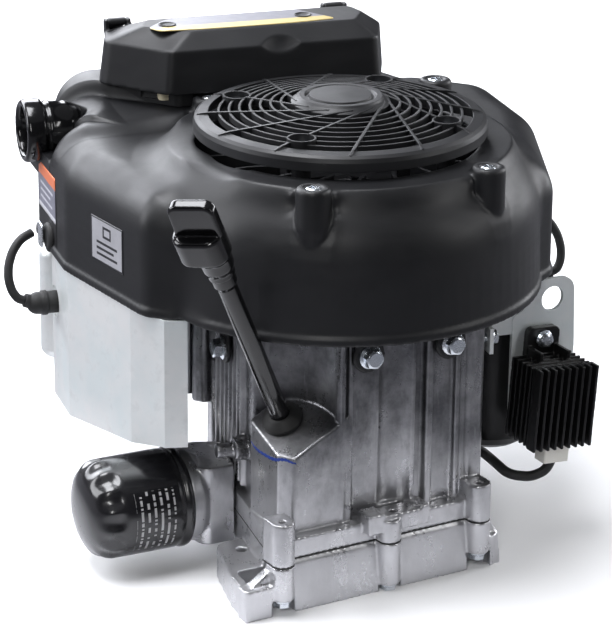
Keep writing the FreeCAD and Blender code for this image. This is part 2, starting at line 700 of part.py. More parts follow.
def air_cleaner_base():
    """Tray under the element, with a neck down to the carburettor."""
    tray = prism(BASE_PLAN, DECK_Z + 0.5, 316.5).cut(prism([(-112, 133, 6), (58, 133, 6), (66, 195, 8),
                                                            (-108, 195, 10)], DECK_Z + 4, 330))
    tray = tray.cut(disc(PLATFORM_R + 0.5, 290, 330))
    sill = prism(BASE_PLAN, DECK_Z + 0.5, DECK_Z + 4).cut(disc(PLATFORM_R + 0.5, 290, 330))
    neck = ring(30, 22, 252.05, DECK_Z + 3, *CARB)
    keepers = [block(x - 5, x + 5, 195, 208.4, 303, 309) for x in LATCH_X.values()]
    body = join([tray, sill, neck] + keepers).cut(disc(22, 250, 320, *CARB))
    x, y, top = HOUSING_BOSSES[2]
    return body.cut(disc(BOSS_R + 0.8, 290, 330, x, y))


def air_filter_element():
    """Pleated panel element."""
    pleats = []
    points = []
    count = 22
    left, right = -96.0, 50.0
    step = (right - left) / count
    for k in range(count):
        points.append((left + k * step, 312.0))
        points.append((left + (k + 0.5) * step, 336.0))
    points.append((right, 312.0))
    upper = [(x, z + 1.2) for x, z in reversed(points)]
    wire = Part.makePolygon([vec(x, 139, z) for x, z in points + upper + [points[0]]])
    pleats.append(Part.Face(wire).extrude(vec(0, 50, 0)))
    frame = block(-100, 54, 135, 193, DECK_Z + 4.1, 312.4, 4).cut(block(-95.5, 49.5, 139, 189, 300, 313, 2))
    return join(pleats + [frame])


LATCH_X = {"left": -117.0, "right": 60.0}
LATCH_PIVOT = (199.0, 352.4)        # y and z of the latches' pins
LATCH_HALF = 7.0        # half width of a latch along its pin
LATCH_PIN_R = 1.6


def latch_ears(side):
    """Two lugs and a pin on the cover's rear slope that carry a latch."""
    x = LATCH_X[side]
    y, z = LATCH_PIVOT
    reach = LATCH_HALF + 0.3
    ears = [block(x + low, x + low + 3.0, y - 4, y + 3.5, z - 9, z + 2.6) for low in (-reach - 3.0, reach)]
    return ears + [rod(LATCH_PIN_R, (x - reach - 2, y, z), (x + reach + 2, y, z))]


def cover_latch(side):
    """Lever that hangs over the cover's rear edge; its lower end lies against the keeper of the base."""
    x = LATCH_X[side] - LATCH_HALF
    y, z = LATCH_PIVOT
    profile = [(-1.0, -2.6), (6.5, -5.2), (10.0, -8.0), (10.0, -47.4), (12.8, -47.4), (13.2, -7.0),
               (8.5, -1.6), (2.5, 2.8), (-1.6, 2.4)]
    wire = [vec(x, y + a, z + b) for a, b in profile]
    lever = Part.Face(Part.makePolygon(wire + [wire[0]])).extrude(vec(2 * LATCH_HALF, 0, 0))
    hub = rod(2.8, (x, y, z), (x + 2 * LATCH_HALF, y, z))
    return lever.fuse(hub).cut(rod(LATCH_PIN_R + RUNNING, (x - 9, y, z), (x + 30, y, z)))


def intake_duct():
    mouth = turned([(17, 0), (22.8, 0), (22.8, 44), (24.2, 46), (24.2, 51), (22.8, 53), (17, 53)])
    return aimed(mouth, (-150.5, 158, 283), (-1, 0, 0))


# ---- dipstick ----------------------------------------------------------------------------------
def tube_axis():
    axis = vec(*TUBE_TOP) - vec(*TUBE_BASE)
    return axis.normalize()


def along_tube(t):
    a = tube_axis()
    return tuple(vec(*TUBE_BASE) + a * t)


def dipstick_tube():
    length = vec(*TUBE_TOP).distanceToPoint(vec(*TUBE_BASE))
    tube = turned([(5.2, -20), (TUBE_R, -20), (TUBE_R, length - 12), (TUBE_R + 1.6, length - 8),
                   (TUBE_R + 1.6, length), (5.2, length)])
    return aimed(tube, TUBE_BASE, tuple(tube_axis()))


def tube_grommet():
    grommet = turned([(TUBE_R + 0.05, 0.05), (15.0, 0.05), (15.0, 3), (12.5, 5.5), (9.5, 8),
                      (TUBE_R + 0.05, 9)])
    return aimed(grommet, TUBE_BASE, tuple(tube_axis()))


def dipstick():
    """Cap with a wing handle, a stopper that enters the tube and a long blade."""
    length = vec(*TUBE_TOP).distanceToPoint(vec(*TUBE_BASE))
    neck = turned([(0, 0.1), (10, 0.1), (10, 5), (11.5, 9), (12.2, 22), (0, 22)])
    grip = block(-23, 13, -13, 13, 19, 43, 11)
    grip = rounded(grip, 2.5, lambda e: abs(e.BoundBox.ZMin - e.BoundBox.ZMax) < 1e-3)
    wing = prism([(-20, 42), (14, 42), (14, 71, 7), (-19, 71, 7)], -4.6, 4.6)
    wing.rotate(vec(0, 0, 0), vec(1, 0, 0), 90)
    wing = rounded(wing, 2.0,
                   lambda e: abs(e.BoundBox.YMin - e.BoundBox.YMax) < 1e-3 and e.BoundBox.ZMax > 43)
    cap = spun(join([neck, grip, wing]), CAP_TURN)
    stopper = turned([(0, -14), (4.9, -14), (5.1, -10), (5.1, 0.2), (0, 0.2)])
    blade = disc(STICK_R, -length - 66, -10)
    return aimed(join([cap, stopper, blade]), TUBE_TOP, tuple(tube_axis()))


# ---- oil filter --------------------------------------------------------------------------------
def filter_direction():
    return -math.cos(math.radians(FILTER_YAW)), -math.sin(math.radians(FILTER_YAW)), 0.0


def oil_filter():
    r = FILTER_R
    can = turned([(0, 3), (r - 4, 3), (r - 1.5, 0), (r, 1.5), (r, 5), (r - 1.6, 7), (r - 0.8, 9),
                  (r - 0.8, 60), (r - 3, 67),
                  (r - 8, 72.5), (r - 17, 76.5), (r - 26, 77.8), (0, 78)])
    flats = []
    for k in range(14):
        x, y = polar(r + 3.2, 360.0 / 14 * k)
        flats.append(disc(6.2, 50, 80, x, y))
    can = can.cut(group(flats)).cut(disc(9, 0, 12))
    return aimed(can, FILTER_SEAT, filter_direction())


def filter_adapter():
    """Cast elbow between crankcase and filter; the seam column passes through it."""
    direction = filter_direction()
    pad = aimed(turned([(0, -14), (30, -14), (FILTER_R - 3, -8), (FILTER_R - 3, -0.05), (0, -0.05)]),
                FILTER_SEAT, direction)
    neck = aimed(disc(8.8, -20, 12), FILTER_SEAT, direction)
    arm = prism([(-122, -50, 10), (-93, -44, 2), (-93, 3, 2), (-122, 10, 10)], 15, 76)
    body = join([pad, neck, arm])
    return body.cut(prism(case_plan(-92.05, FRONT_FACE, 90, SEAT, 12.0), 0, 90)).cut(block(-95, -80,
            -60, -44, 80, 100))


# ---- electrical parts --------------------------------------------------------------------------
REGULATOR_AT = (146.0, -68.0, 110.0)


def place_regulator(shape):
    copy = shape.copy()
    copy.rotate(vec(0, 0, 0), vec(0, 1, 0), 4.0)
    copy.rotate(vec(0, 0, 0), vec(0, 0, 1), 11.0)
    copy.translate(vec(*REGULATOR_AT))
    return copy


def voltage_regulator():
    """Finned rectifier-regulator: core with vertical fins and a top ear."""
    core = block(-22, 22, -14, 20, -29, 29).fuse(block(-26, 26, -15, -12, -31, 31))
    fins = []
    for k in range(9):
        x = -24.8 + k * 6.2
        fins.append(block(x - 1.1, x + 1.1, -23, -13, -32, 32))
    for k in range(5):
        y = -9.0 + k * 6.2
        fins.append(block(-26, 26, y - 1.1, y + 1.1, -31, 31))
    ear = block(-14, 14, 15.5, 21.5, 27, 52).cut(rod(3.4, (0, 0, 43), (0, 40, 43)))
    ear = rounded(ear, 5.0, lambda e: e.BoundBox.ZMin > 51.9 and e.BoundBox.YLength > 5)
    gussets = [block(s * 12 - 1.5, s * 12 + 1.5, -2, 16, 28, 38) for s in (-1, 1)]
    return place_regulator(join([core] + fins + [ear] + gussets))


def bracket_bolts():
    """Bolts of the lifting plate and of the regulator."""
    bolt = hex_bolt(3.0, 15, 6.8, 10.0, 6.0)
    turn = math.radians(11)
    seat = place_regulator(Part.Vertex(0, 15.5, 43)).Point
    bolts = [aimed(bolt, tuple(seat), (math.sin(turn), -math.cos(turn), 0.0))]
    bolts += [aimed(bolt, (93, y, 168), (1, 0, 0)) for y in EYE_BOLT_Y]
    return group(bolts)


def regulator_connector():
    body = block(-9, 13, -14, 0, -46, -32.2, 1.5)
    return place_regulator(body.cut(block(-6, 10, -11, -3, -48, -40)))


HARNESS_ROUTE = (
    (2, -7, -40.5), (2, -7, -47), (-1.5, -6, -55), (-11, -2, -60.5), (-26, 6, -60),
)


def harness_points():
    local = [place_regulator(Part.Vertex(*p)).Point for p in HARNESS_ROUTE]
    points = [tuple(p) for p in local]
    return points + [(109.0, -45.5, 57.0), (101.0, -43.0, 64.0), (91.05, -43.0, 64.0)]


def regulator_harness():
    return bent_tube(harness_points(), HARNESS_R)


def lifting_eye():
    """Bent plate on the crankcase's right wall; it carries the regulator and has the lifting hole."""
    plate = prism([(120, 80, 5), (172, 80, 8), (176, 140, 10), (174, 197, 12), (136, 197, 12),
                   (131, 176, 10), (120, 172, 5)], 0, 3)
    plate.rotate(vec(0, 0, 0), vec(1, 0, 0), 90)
    plate = plate.cut(rod(9.5, (155, -20, 181), (155, 20, 181)))
    plate.rotate(vec(150, 0, 0), vec(0, 0, 1), 11)
    plate.translate(vec(0, -41.5, 0))
    arm = Part.Face(Part.makePolygon([vec(x, y, 158) for x, y in (
        (90, -84), (93, -84), (93, -49.8), (124, -49.5), (124, -46.5), (90, -46.5), (90,
                -84))])).extrude(vec(0, 0, 20))
    body = join([plate, arm])
    for y in EYE_BOLT_Y:
        body = body.cut(rod(3.5, (80, y, 168), (100, y, 168)))
    seat = place_regulator(Part.Vertex(0, 22, 43)).Point
    direction = vec(math.sin(math.radians(11)), -math.cos(math.radians(11)), 0.0)
    return body.cut(Part.makeCylinder(3.1, 30, seat + direction * 10, direction * -1))


def starter_centre():
    distance = STARTER_MODULE * (RING_TEETH + PINION_TEETH) / 2.0 + 0.3
    return polar(distance, STARTER_ANGLE)


def starter_motor():
    x, y = starter_centre()
    can = turned([(0, 56), (24, 56), (STARTER_R - 4, 60), (STARTER_R, 66), (STARTER_R, 186),
                  (STARTER_R - 2, 190), (22, 196), (0, 196)])
    shaft = turned([(0, 190), (9, 190), (9, 199), (6, 199), (6, 242), (0, 242)])
    body = moved(join([can, shaft]), x, y, 0)
    terminal = rod(4, (x + 20, y + 20, 74), (x + 34, y + 34, 74))
    bracket = block(89.5, x, y - 14, y + 14, 150, 162)
    return join([body, terminal, bracket])


def starter_pinion():
    x, y = starter_centre()
    step = 180.0 / PINION_TEETH
    phase = 180.0 + STARTER_ANGLE + step
    body = join([gear(PINION_TEETH, STARTER_MODULE, 201, 214, 5.0, phase), disc(9.4, 199.2, 202)])
    return moved(body.cut(disc(6 + RUNNING, 190, 230)), x, y, 0)


def stator():
    """Alternator stator: laminated star with wound poles on the crankcase top."""
    hub = ring(46, 34, 208, 222)
    poles = []
    for k in range(12):
        poles.append(spun(block(45, 66, -3.5, 3.5, 210, 220), 30 * k))
        poles.append(spun(block(64, 72, -8, 8, 210, 220), 30 * k))
        poles.append(spun(block(48, 62, -6, 6, 207, 223, 3), 30 * k))
    feet = [disc(5, CASE_TOP, 209, *polar(40, 45 + 90 * k)) for k in range(4)]
    return join([hub] + poles + feet)


def ignition_coil(angle):
    """Coil on its laminated core at the flywheel's edge, carried by a strip on the crankcase top."""
    strip = block(86, 140, -9, 9, CASE_TOP, CASE_TOP + 3)
    posts = [block(116.5, 122, s * 15 - 4, s * 15 + 4, CASE_TOP + 1, 236) for s in (-1, 1)]
    foot = block(115, 140, -19, 19, CASE_TOP, CASE_TOP + 3)
    core = block(116.5, 122, -26, 26, 234, 246)
    coil = block(119, 138, -17, 17, 228, 254, 4)
    return spun(join([strip, foot] + posts + [core, coil]), angle)


def ignition_coils():
    return group([ignition_coil(112.0), ignition_coil(62.0)])


# ---- rotating group ----------------------------------------------------------------------------
def crankshaft():
    """Single-throw shaft; the crankpin stands on the V's bisector at rest."""
    pto = disc(PTO_R, -PTO_LENGTH, 3).cut(block(-3.2, 3.2, 9.6, 20, -PTO_LENGTH - 1, -24))
    lower = turned([(0, 2), (SUMP_JOURNAL_R, 2), (SUMP_JOURNAL_R, 36), (23, 36), (23, 46), (17, 46),
                    (17, 62), (22, 62), (22, 104), (0, 104)])
    pin = disc(16, 100, 180, 0, THROW)
    webs = []
    for z in (102, 162):
        cheek = prism([(-30, -32, 24), (30, -32, 24), (17, 49, 15), (-17, 49, 15)], z, z + 16)
        webs.append(cheek.common(disc(50, z, z + 16)))
    upper = turned([(0, 178), (TOP_JOURNAL_R, 178), (TOP_JOURNAL_R, 208), (17, 210), (14.3, 246),
                    (9, 247), (9, 276), (0, 276)])
    bolt_hole_bottom = disc(5, -PTO_LENGTH - 1, -PTO_LENGTH + 26)
    keyway = block(12.0, 20, -2.5, 2.5, 216, 236)
    timing_gear = gear(CRANK_GEAR_TEETH, CAM_MODULE, 47, 57, 15.0, 90.0)
    return join([pto, lower, timing_gear, pin] + webs + [upper]).cut(bolt_hole_bottom).cut(keyway)


def flywheel_key():
    return block(12.0, 18.5, -2.45, 2.45, 217, 235)


def flywheel():
    body = turned([(0, 224), (30, 224), (34, 232), (84, 232), (84, 216), (FLYWHEEL_R, 216),
                   (FLYWHEEL_R, 262), (60, 262), (50, 258),
                   (30, 258), (30, 249), (0, 249)])
    taper = turned([(0, 200), (17.02, 210), (14.02, 250), (14.02, 260), (0, 260)])
    teeth = gear(RING_TEETH, STARTER_MODULE, 217, 229, FLYWHEEL_R - 2, STARTER_ANGLE)
    body = join([body, teeth]).cut(taper)
    slot = block(12.0, 18.6, -2.5, 2.5, 216, 270)
    holes = [disc(3.0, 250, 270, *polar(82, a)) for a in SCREW_ANGLES]
    return body.cut(slot).cut(group(holes))


def flywheel_nut():
    hexagon = prism([polar(15.0, 60 * k) for k in range(6)], 251.5, 266)
    washer = disc(19, 249.1, 252)
    return join([hexagon, washer]).cut(disc(9.02, 240, 280))


SCREW_ANGLES = (-128.0, -39.0, 51.0, 141.0)


def cooling_fan():
    """Fan on the flywheel: a floor ring, curved blades and four posts that carry the screen."""
    floor = ring(FLYWHEEL_R, 40, 262.05, 265)
    blades = []
    for k in range(16):
        outer = Part.makeCylinder(46, 33, vec(92, 30, 264)).cut(Part.makeCylinder(43.4, 40, vec(92, 30, 260)))
        sector = block(52, 101, -20, 0, 262, 310).common(ring(101, 54, 260, 310))
        blades.append(spun(outer.common(sector), 22.5 * k))
    posts = [disc(7.0, 264, 318, *polar(82, a)) for a in SCREW_ANGLES]
    body = join([floor] + blades + posts)
    return body.cut(group([disc(2.6, 250, 330, *polar(82, a)) for a in SCREW_ANGLES]))


SPOKE_HUB_R = 33.0      # the spokes leave the hub as tangents of this circle


def spoke(angle):
    """Thin rib that leaves the hub as a tangent and runs out over the bezel."""
    outer_r = SCREEN_R - 0.6
    lean = math.degrees(math.acos(SPOKE_HUB_R / outer_r))
    inner = vec(*polar(SPOKE_HUB_R, angle))
    outer = vec(*polar(outer_r, angle - lean))
    length = inner.distanceToPoint(outer)
    along = (outer - inner).normalize()
    brim = length * 0.895
    side = [(0, 338.0), (brim, 328.2), (length - 3, 326.4), (length, 321.0), (length, 316), (brim, 322),
            (0, 333), (0, 338.0)]
    rib = Part.Face(Part.makePolygon([vec(s, -1.0, z) for s, z in side])).extrude(vec(0, 2.0, 0))
    rib.rotate(vec(0, 0, 0), vec(0, 0, 1), math.degrees(math.atan2(along.y, along.x)))
    rib.translate(inner)
    return rib


def rotating_screen():
    """Debris screen that turns with the flywheel: hub, fine rings, swept spokes and bezel."""
    rim = SCREEN_R
    bezel = turned([(rim - 3, 314.0), (rim, 314.5), (rim, 321), (rim - 1, 324), (rim - 3.5, 325.8),
                    (SCREEN_OPENING_R, 326.8), (SCREEN_OPENING_R, 322.0), (rim - 5, 321)])
    hub = turned([(0, 333), (27, 333), (27, 331), (36.5, 331), (36.5, 335.5), (32, 338.6),
                  (30.5, 340.2), (26.5, 340.2),
                  (25.2, 338.4), (23.8, 338.4), (22.8, 340.6), (0, 341.4)])
    solids = [bezel, hub]
    for k in range(7):
        r = 43.5 + k * 7.6
        z = 336.0 - (r - 36.0) * 0.15
        solids.append(ring(r + 0.9, r - 0.9, z - 4.5, z))
    for k in range(SPOKES):
        solids.append(spoke(27.0 + 360.0 / SPOKES * k).common(disc(SCREEN_R + 0.5, 300, 345)))
    collars = []
    for a in SCREW_ANGLES:
        x, y = polar(82, a)
        collars.append(ring(10.6, 9.3, 318.05, 330.6, x, y))
        collars.append(disc(9.8, 318.05, 321, x, y))
    body = join(solids + collars)
    for a in SCREW_ANGLES:
        x, y = polar(82, a)
        body = body.cut(disc(2.8, 300, 340, x, y)).cut(disc(9.3, 321, 345, x, y))
    return body.removeSplitter()


def screen_screws():
    screws = []
    for a in SCREW_ANGLES:
        x, y = polar(82, a)
        head = turned([(0, 321.05), (5.6, 321.05), (5.6, 323), (3.6, 325), (0, 325)])
        slot = join([block(-3, 3, -0.5, 0.5, 323.6, 330), block(-0.5, 0.5, -3, 3, 323.6, 330)])
        screws.append(moved(head.fuse(disc(2.5, 292, 322)).cut(slot), x, y, 0))
    return group(screws)


def camshaft():
    step = 180.0 / CAM_GEAR_TEETH
    shaft = turned([(0, 40), (12, 40), (12, 45), (7, 45), (7, 185), (0, 185)])
    wheel = gear(CAM_GEAR_TEETH, CAM_MODULE, 47, 57, 6.0, -90.0 + step)
    lobes = []
    for k, angle in enumerate((40.0, 150.0, 220.0, 330.0)):
        z = 61.0 + 9.0 * k
        x, y = polar(3.0, angle)
        lobes.append(disc(8.5, z, z + 7).fuse(disc(7.6, z, z + 7, x, y)))
    return moved(join([shaft, wheel] + lobes), 0, CAM_Y, 0)


def camshaft_bearing():
    """Upper camshaft bearing, cast on the crankcase's roof."""
    return disc(13, 180, 198, 0, CAM_Y).cut(disc(7 + RUNNING, 170, 190, 0, CAM_Y))


def piston(side):
    theta = math.radians(45.0)
    rest = THROW * math.cos(theta) + math.sqrt(ROD_LENGTH ** 2 - (THROW * math.sin(theta)) ** 2)
    r = BORE_R - RUNNING
    body = rod(r, (rest - 30, 0, 0), (rest + 29.5, 0, 0))
    body = body.cut(rod(r - 5, (rest - 40, 0, 0), (rest + 20, 0, 0)))
    bosses = rod(15, (rest, -r + 3, 0), (rest, -14, 0)).fuse(rod(15, (rest, 14, 0), (rest, r - 3, 0)))
    bosses = bosses.common(rod(r, (rest - 30, 0, 0), (rest + 29, 0, 0)))
    body = body.fuse(bosses)
    for x in (16.0, 20.5, 25.0):
        groove = rod(r + 1, (rest + x, 0, 0), (rest + x + 1.5, 0, 0)).cut(rod(r - 3,
                (rest + x - 1, 0, 0), (rest + x + 3, 0, 0)))
        body = body.cut(groove)
    body = body.cut(rod(10, (rest, -60, 0), (rest, 60, 0)))
    return on_bank(body.removeSplitter(), side), on_bank(rod(9.98, (rest, -r + 6, 0), (rest, r - 6, 0)), side)


def piston_rings(side):
    theta = math.radians(45.0)
    rest = THROW * math.cos(theta) + math.sqrt(ROD_LENGTH ** 2 - (THROW * math.sin(theta)) ** 2)
    rings = []
    for x in (16.0, 20.5, 25.0):
        hoop = rod(BORE_R - 0.02, (rest + x + 0.05, 0, 0), (rest + x + 1.45, 0, 0))
        hoop = hoop.cut(rod(BORE_R - 2.9, (rest + x - 1, 0, 0), (rest + x + 3, 0, 0)))
        rings.append(hoop.cut(block(rest + x - 1, rest + x + 3, -0.3, 0.3, 30, 50)))
    return on_bank(group(rings), side)


def oil_seal():
    return turned([(PTO_R + 6.35, 2.5), (25.95, 2.5), (25.95, 10), (PTO_R + 6.35, 10)])


def top_bearing():
    return ring(TOP_JOURNAL_R + 5.95, TOP_JOURNAL_R + RUNNING, 186, 204)


def carburettor():
    """Downdraught carburettor body in the V with its float bowl beside it."""
    x, y = CARB
    bowl = rounded(disc(17, 206.5, 236, x - 38, y + 4), 4.0, at_height(206.5))
    link = block(x - 40, x, y - 12, y + 12, 216, 232)
    body = join([bowl, link, disc(27, 200, 206, x, y), disc(22, 204, 248, x, y), disc(29, 246, 252, x, y)])
    return body.cut(disc(16, 190, 260, x, y)).cut(rod(2.55, (x - 30, y, 208.5), (x + 60, y, 208.5)))


def throttle_lever():
    """Throttle spindle across the bore with its outer lever."""
    x, y = CARB
    lever = block(x + 30, x + 33, y - 5, y + 5, 204, 240,
                  1.0).cut(rod(1.6, (x + 20, y, 234), (x + 50, y, 234)))
    return lever.fuse(rod(2.5, (x - 20, y, 208.5), (x + 31, y, 208.5)))


def manifold_route(side):
    """Centre line from the carburettor's foot to the inlet port, which it meets square on."""
    sign = -1.0 if side == "left" else 1.0
    z = CYLINDER_Z[side] - 6.0
    share = math.sqrt(0.5)
    port = (sign * share * (DECK + 16 - 58), share * (DECK + 16 + 58), z)
    before = (port[0] - sign * 16.0, port[1] + 16.0, z)
    return [(CARB[0], CARB[1], 196), (CARB[0] + sign * 2, 168, 174), (CARB[0] + sign * 28, 190, z + 12),
            before, port]


def pipe_run(points, r):
    pieces = []
    for start, end in zip(points, points[1:]):
        pieces.append(rod(r, start, end))
    for p in points[1:-1]:
        pieces.append(Part.makeSphere(r, vec(*p)))
    return pieces


def intake_manifold():
    """Forked pipe from the carburettor's foot to both inlet ports."""
    x, y = CARB
    routes = [manifold_route("left"), manifold_route("right")]
    outer = join(pipe_run(routes[0], 13.0) + pipe_run(routes[1], 13.0) + [disc(27, 193, 199.95, x, y)])
    inner = join(pipe_run(routes[0], 9.5) + pipe_run(routes[1], 9.5) + [disc(9.5, 190, 200, x, y),
            disc(16, 196.5, 205, x, y)])
    return outer.cut(inner)


NODES = {
    "crankcase": crankcase,
    "oil_sump": sump,
    "sump_gasket": sump_gasket,
    "sump_bolts": sump_bolts,
    "blower_housing": blower_housing,
    "housing_screws": housing_screws,
    "housing_bolts": housing_bolts,
    "air_cleaner_cover": air_cleaner_cover,
    "air_cleaner_base": air_cleaner_base,
    "air_filter_element": air_filter_element,
    "intake_duct": intake_duct,
    "dipstick_tube": dipstick_tube,
    "tube_grommet": tube_grommet,
    "dipstick": dipstick,
    "oil_filter": oil_filter,
    "filter_adapter": filter_adapter,
    "voltage_regulator": voltage_regulator,
    "bracket_bolts": bracket_bolts,
    "regulator_connector": regulator_connector,
    "regulator_harness": regulator_harness,
    "lifting_eye": lifting_eye,
    "starter_motor": starter_motor,
    "starter_pinion": starter_pinion,
    "stator": stator,
    "ignition_coils": ignition_coils,
    "crankshaft": crankshaft,
    "flywheel": flywheel,
    "flywheel_key": flywheel_key,
    "flywheel_nut": flywheel_nut,
    "cooling_fan": cooling_fan,
    "rotating_screen": rotating_screen,
    "screen_screws": screen_screws,
    "camshaft": camshaft,
    "lower_oil_seal": oil_seal,
    "upper_main_bearing": top_bearing,
    "carburettor": carburettor,
    "throttle_lever": throttle_lever,
    "intake_manifold": intake_manifold,
}

SIDED_NODES = {
    "cylinder": cylinder,
    "cylinder_head": cylinder_head,
    "rocker_cover": rocker_cover,
    "spark_plug": spark_plug,
    "plug_boot": plug_boot,
    "plug_lead": plug_lead,
    "cylinder_shroud": cylinder_shroud,
    "cover_latch": cover_latch,
    "piston_rings": piston_rings,
}


def main():
    os.makedirs("parts", exist_ok=True)
    for name, make in NODES.items():
        save(name, make())
    for name, make in SIDED_NODES.items():
        for side in ("left", "right"):
            save(name + "_" + side, make(side))
    for side in ("left", "right"):
        body, pin = piston(side)
        save("piston_" + side, body)
        save("wrist_pin_" + side, pin)


main()
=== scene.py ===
import json
import math

import bmesh
import bpy
import numpy as np
from mathutils import Matrix, Vector
from mathutils.bvhtree import BVHTree


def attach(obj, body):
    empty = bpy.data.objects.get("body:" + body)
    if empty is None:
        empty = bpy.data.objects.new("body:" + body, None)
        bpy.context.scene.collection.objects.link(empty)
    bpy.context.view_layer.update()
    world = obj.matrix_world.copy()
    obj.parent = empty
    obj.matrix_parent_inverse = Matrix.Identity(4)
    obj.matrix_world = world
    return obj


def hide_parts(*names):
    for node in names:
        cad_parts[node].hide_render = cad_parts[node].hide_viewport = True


# Looks of the small gasoline engine. Metres, in the CAD frame: +Z up along the crankshaft,
# the crankshaft's axis at x 0, y 0 and the mounting face at z 0.

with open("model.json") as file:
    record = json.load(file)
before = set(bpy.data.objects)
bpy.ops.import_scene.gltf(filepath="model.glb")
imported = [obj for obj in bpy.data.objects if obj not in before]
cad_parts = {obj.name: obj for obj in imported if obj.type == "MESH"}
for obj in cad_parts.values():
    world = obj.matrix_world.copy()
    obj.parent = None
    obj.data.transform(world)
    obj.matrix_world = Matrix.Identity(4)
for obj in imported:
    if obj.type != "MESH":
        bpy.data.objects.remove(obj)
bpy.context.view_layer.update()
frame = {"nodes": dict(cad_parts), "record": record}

MM = 0.001
RIGHT = Vector((1.0, 0.0, 0.0))
LEFT = Vector((-1.0, 0.0, 0.0))
FRONT = Vector((0.0, -1.0, 0.0))
BACK = Vector((0.0, 1.0, 0.0))
UP = Vector((0.0, 0.0, 1.0))
DOWN = Vector((0.0, 0.0, -1.0))


# ---- shader helpers ------------------------------------------------------------------------------
def node(tree, kind, inputs=None, **settings):
    """Add a shader node; an input is a value or the socket that feeds it."""
    made = tree.nodes.new("ShaderNode" + kind)
    for key, value in settings.items():
        setattr(made, key, value)
    for key, value in (inputs or {}).items():
        if isinstance(value, bpy.types.NodeSocket):
            tree.links.new(value, made.inputs[key])
        else:
            made.inputs[key].default_value = value
    return made


def start_material(name, viewport):
    material = bpy.data.materials.new(name)
    material.use_nodes = True
    material.diffuse_color = (*viewport, 1.0)
    tree = material.node_tree
    place = node(tree, "TexCoord").outputs["Object"]
    return material, tree, tree.nodes["Principled BSDF"], place


def stretched(tree, place, scale):
    return node(tree, "Mapping", {"Vector": place, "Scale": scale}).outputs["Vector"]


def noise(tree, place, scale, detail=4.0, roughness=0.55):
    inputs = {"Vector": place, "Scale": scale, "Detail": detail, "Roughness": roughness}
    return node(tree, "TexNoise", inputs).outputs["Fac"]


def ranged(tree, value, low, high, new_low, new_high):
    inputs = {"Value": value, "From Min": low, "From Max": high, "To Min": new_low, "To Max": new_high}
    return node(tree, "MapRange", inputs).outputs["Result"]


def mixed(tree, share, first, second):
    made = node(tree, "Mix", {0: share}, data_type="RGBA")
    for index, colour in ((6, first), (7, second)):
        if isinstance(colour, bpy.types.NodeSocket):
            tree.links.new(colour, made.inputs[index])
        else:
            made.inputs[index].default_value = (*colour, 1.0)
    return made.outputs[2]


def maths(tree, operation, first, second):
    return node(tree, "Math", {0: first, 1: second}, operation=operation).outputs[0]


def finish_surface(tree, bsdf, heights, edge):
    """Feed the normal with rounded edges of radius edge and one bump per (height, distance, strength)."""
    normal = node(tree, "Bevel", {"Radius": edge}, samples=4).outputs["Normal"]
    for height, distance, strength in heights:
        inputs = {"Height": height, "Distance": distance, "Strength": strength, "Normal": normal}
        normal = node(tree, "Bump", inputs).outputs["Normal"]
    tree.links.new(normal, bsdf.inputs["Normal"])


def sharp_edge_tint(tree, colour, edge_tone, low, high):
    """Blend towards the edge colour where the surface bends sharply outward."""
    sharp = node(tree, "NewGeometry").outputs["Pointiness"]
    return mixed(tree, ranged(tree, sharp, low, high, 0.0, 1.0), colour, edge_tone)


# ---- materials -----------------------------------------------------------------------------------
def plastic(name, dark, light, roughness, grain, edge=0.7 * MM, coat=0.0, gleam=0.4):
    """Moulded plastic: slight cloudy tone, fine spark texture, handling marks in the gloss."""
    material, tree, bsdf, place = start_material(name, light)
    cloud = noise(tree, place, 9.0, 3.0)
    speck = noise(tree, place, 900.0, 2.0)
    tone = mixed(tree, ranged(tree, cloud, 0.35, 0.65, 0.0, 1.0), dark, light)
    tone = mixed(tree, ranged(tree, speck, 0.60, 0.78, 0.0, 0.35), tone, [min(1.0, c * 2.2) for c in light])
    marks = noise(tree, stretched(tree, place, (1.0, 1.0, 2.6)), 26.0, 6.0, 0.62)
    gloss = ranged(tree, marks, 0.3, 0.7, roughness - 0.05, roughness + 0.07)
    tree.links.new(tone, bsdf.inputs["Base Color"])
    tree.links.new(gloss, bsdf.inputs["Roughness"])
    bsdf.inputs["Specular IOR Level"].default_value = gleam
    bsdf.inputs["Coat Weight"].default_value = coat
    bsdf.inputs["Coat Roughness"].default_value = 0.12
    wave = noise(tree, place, 22.0, 1.0)
    finish_surface(tree, bsdf, [(wave, 1.0 * MM, 0.06), (speck, 0.25 * MM, grain)], edge)
    return material


# Cast metal: painted shade darkens recesses narrower than its reach, and painted floor bounce light makes the
# foot paler than the top.
BOUNCE_LIGHT_TONE = (0.80, 0.80, 0.82)
RECESS_SHADE = (0.035, 0.035, 0.04)
RECESS_SHADE_REACH = 22.0 * MM
BOUNCE_FULL_BELOW = 0.03
BOUNCE_GONE_ABOVE = 0.11


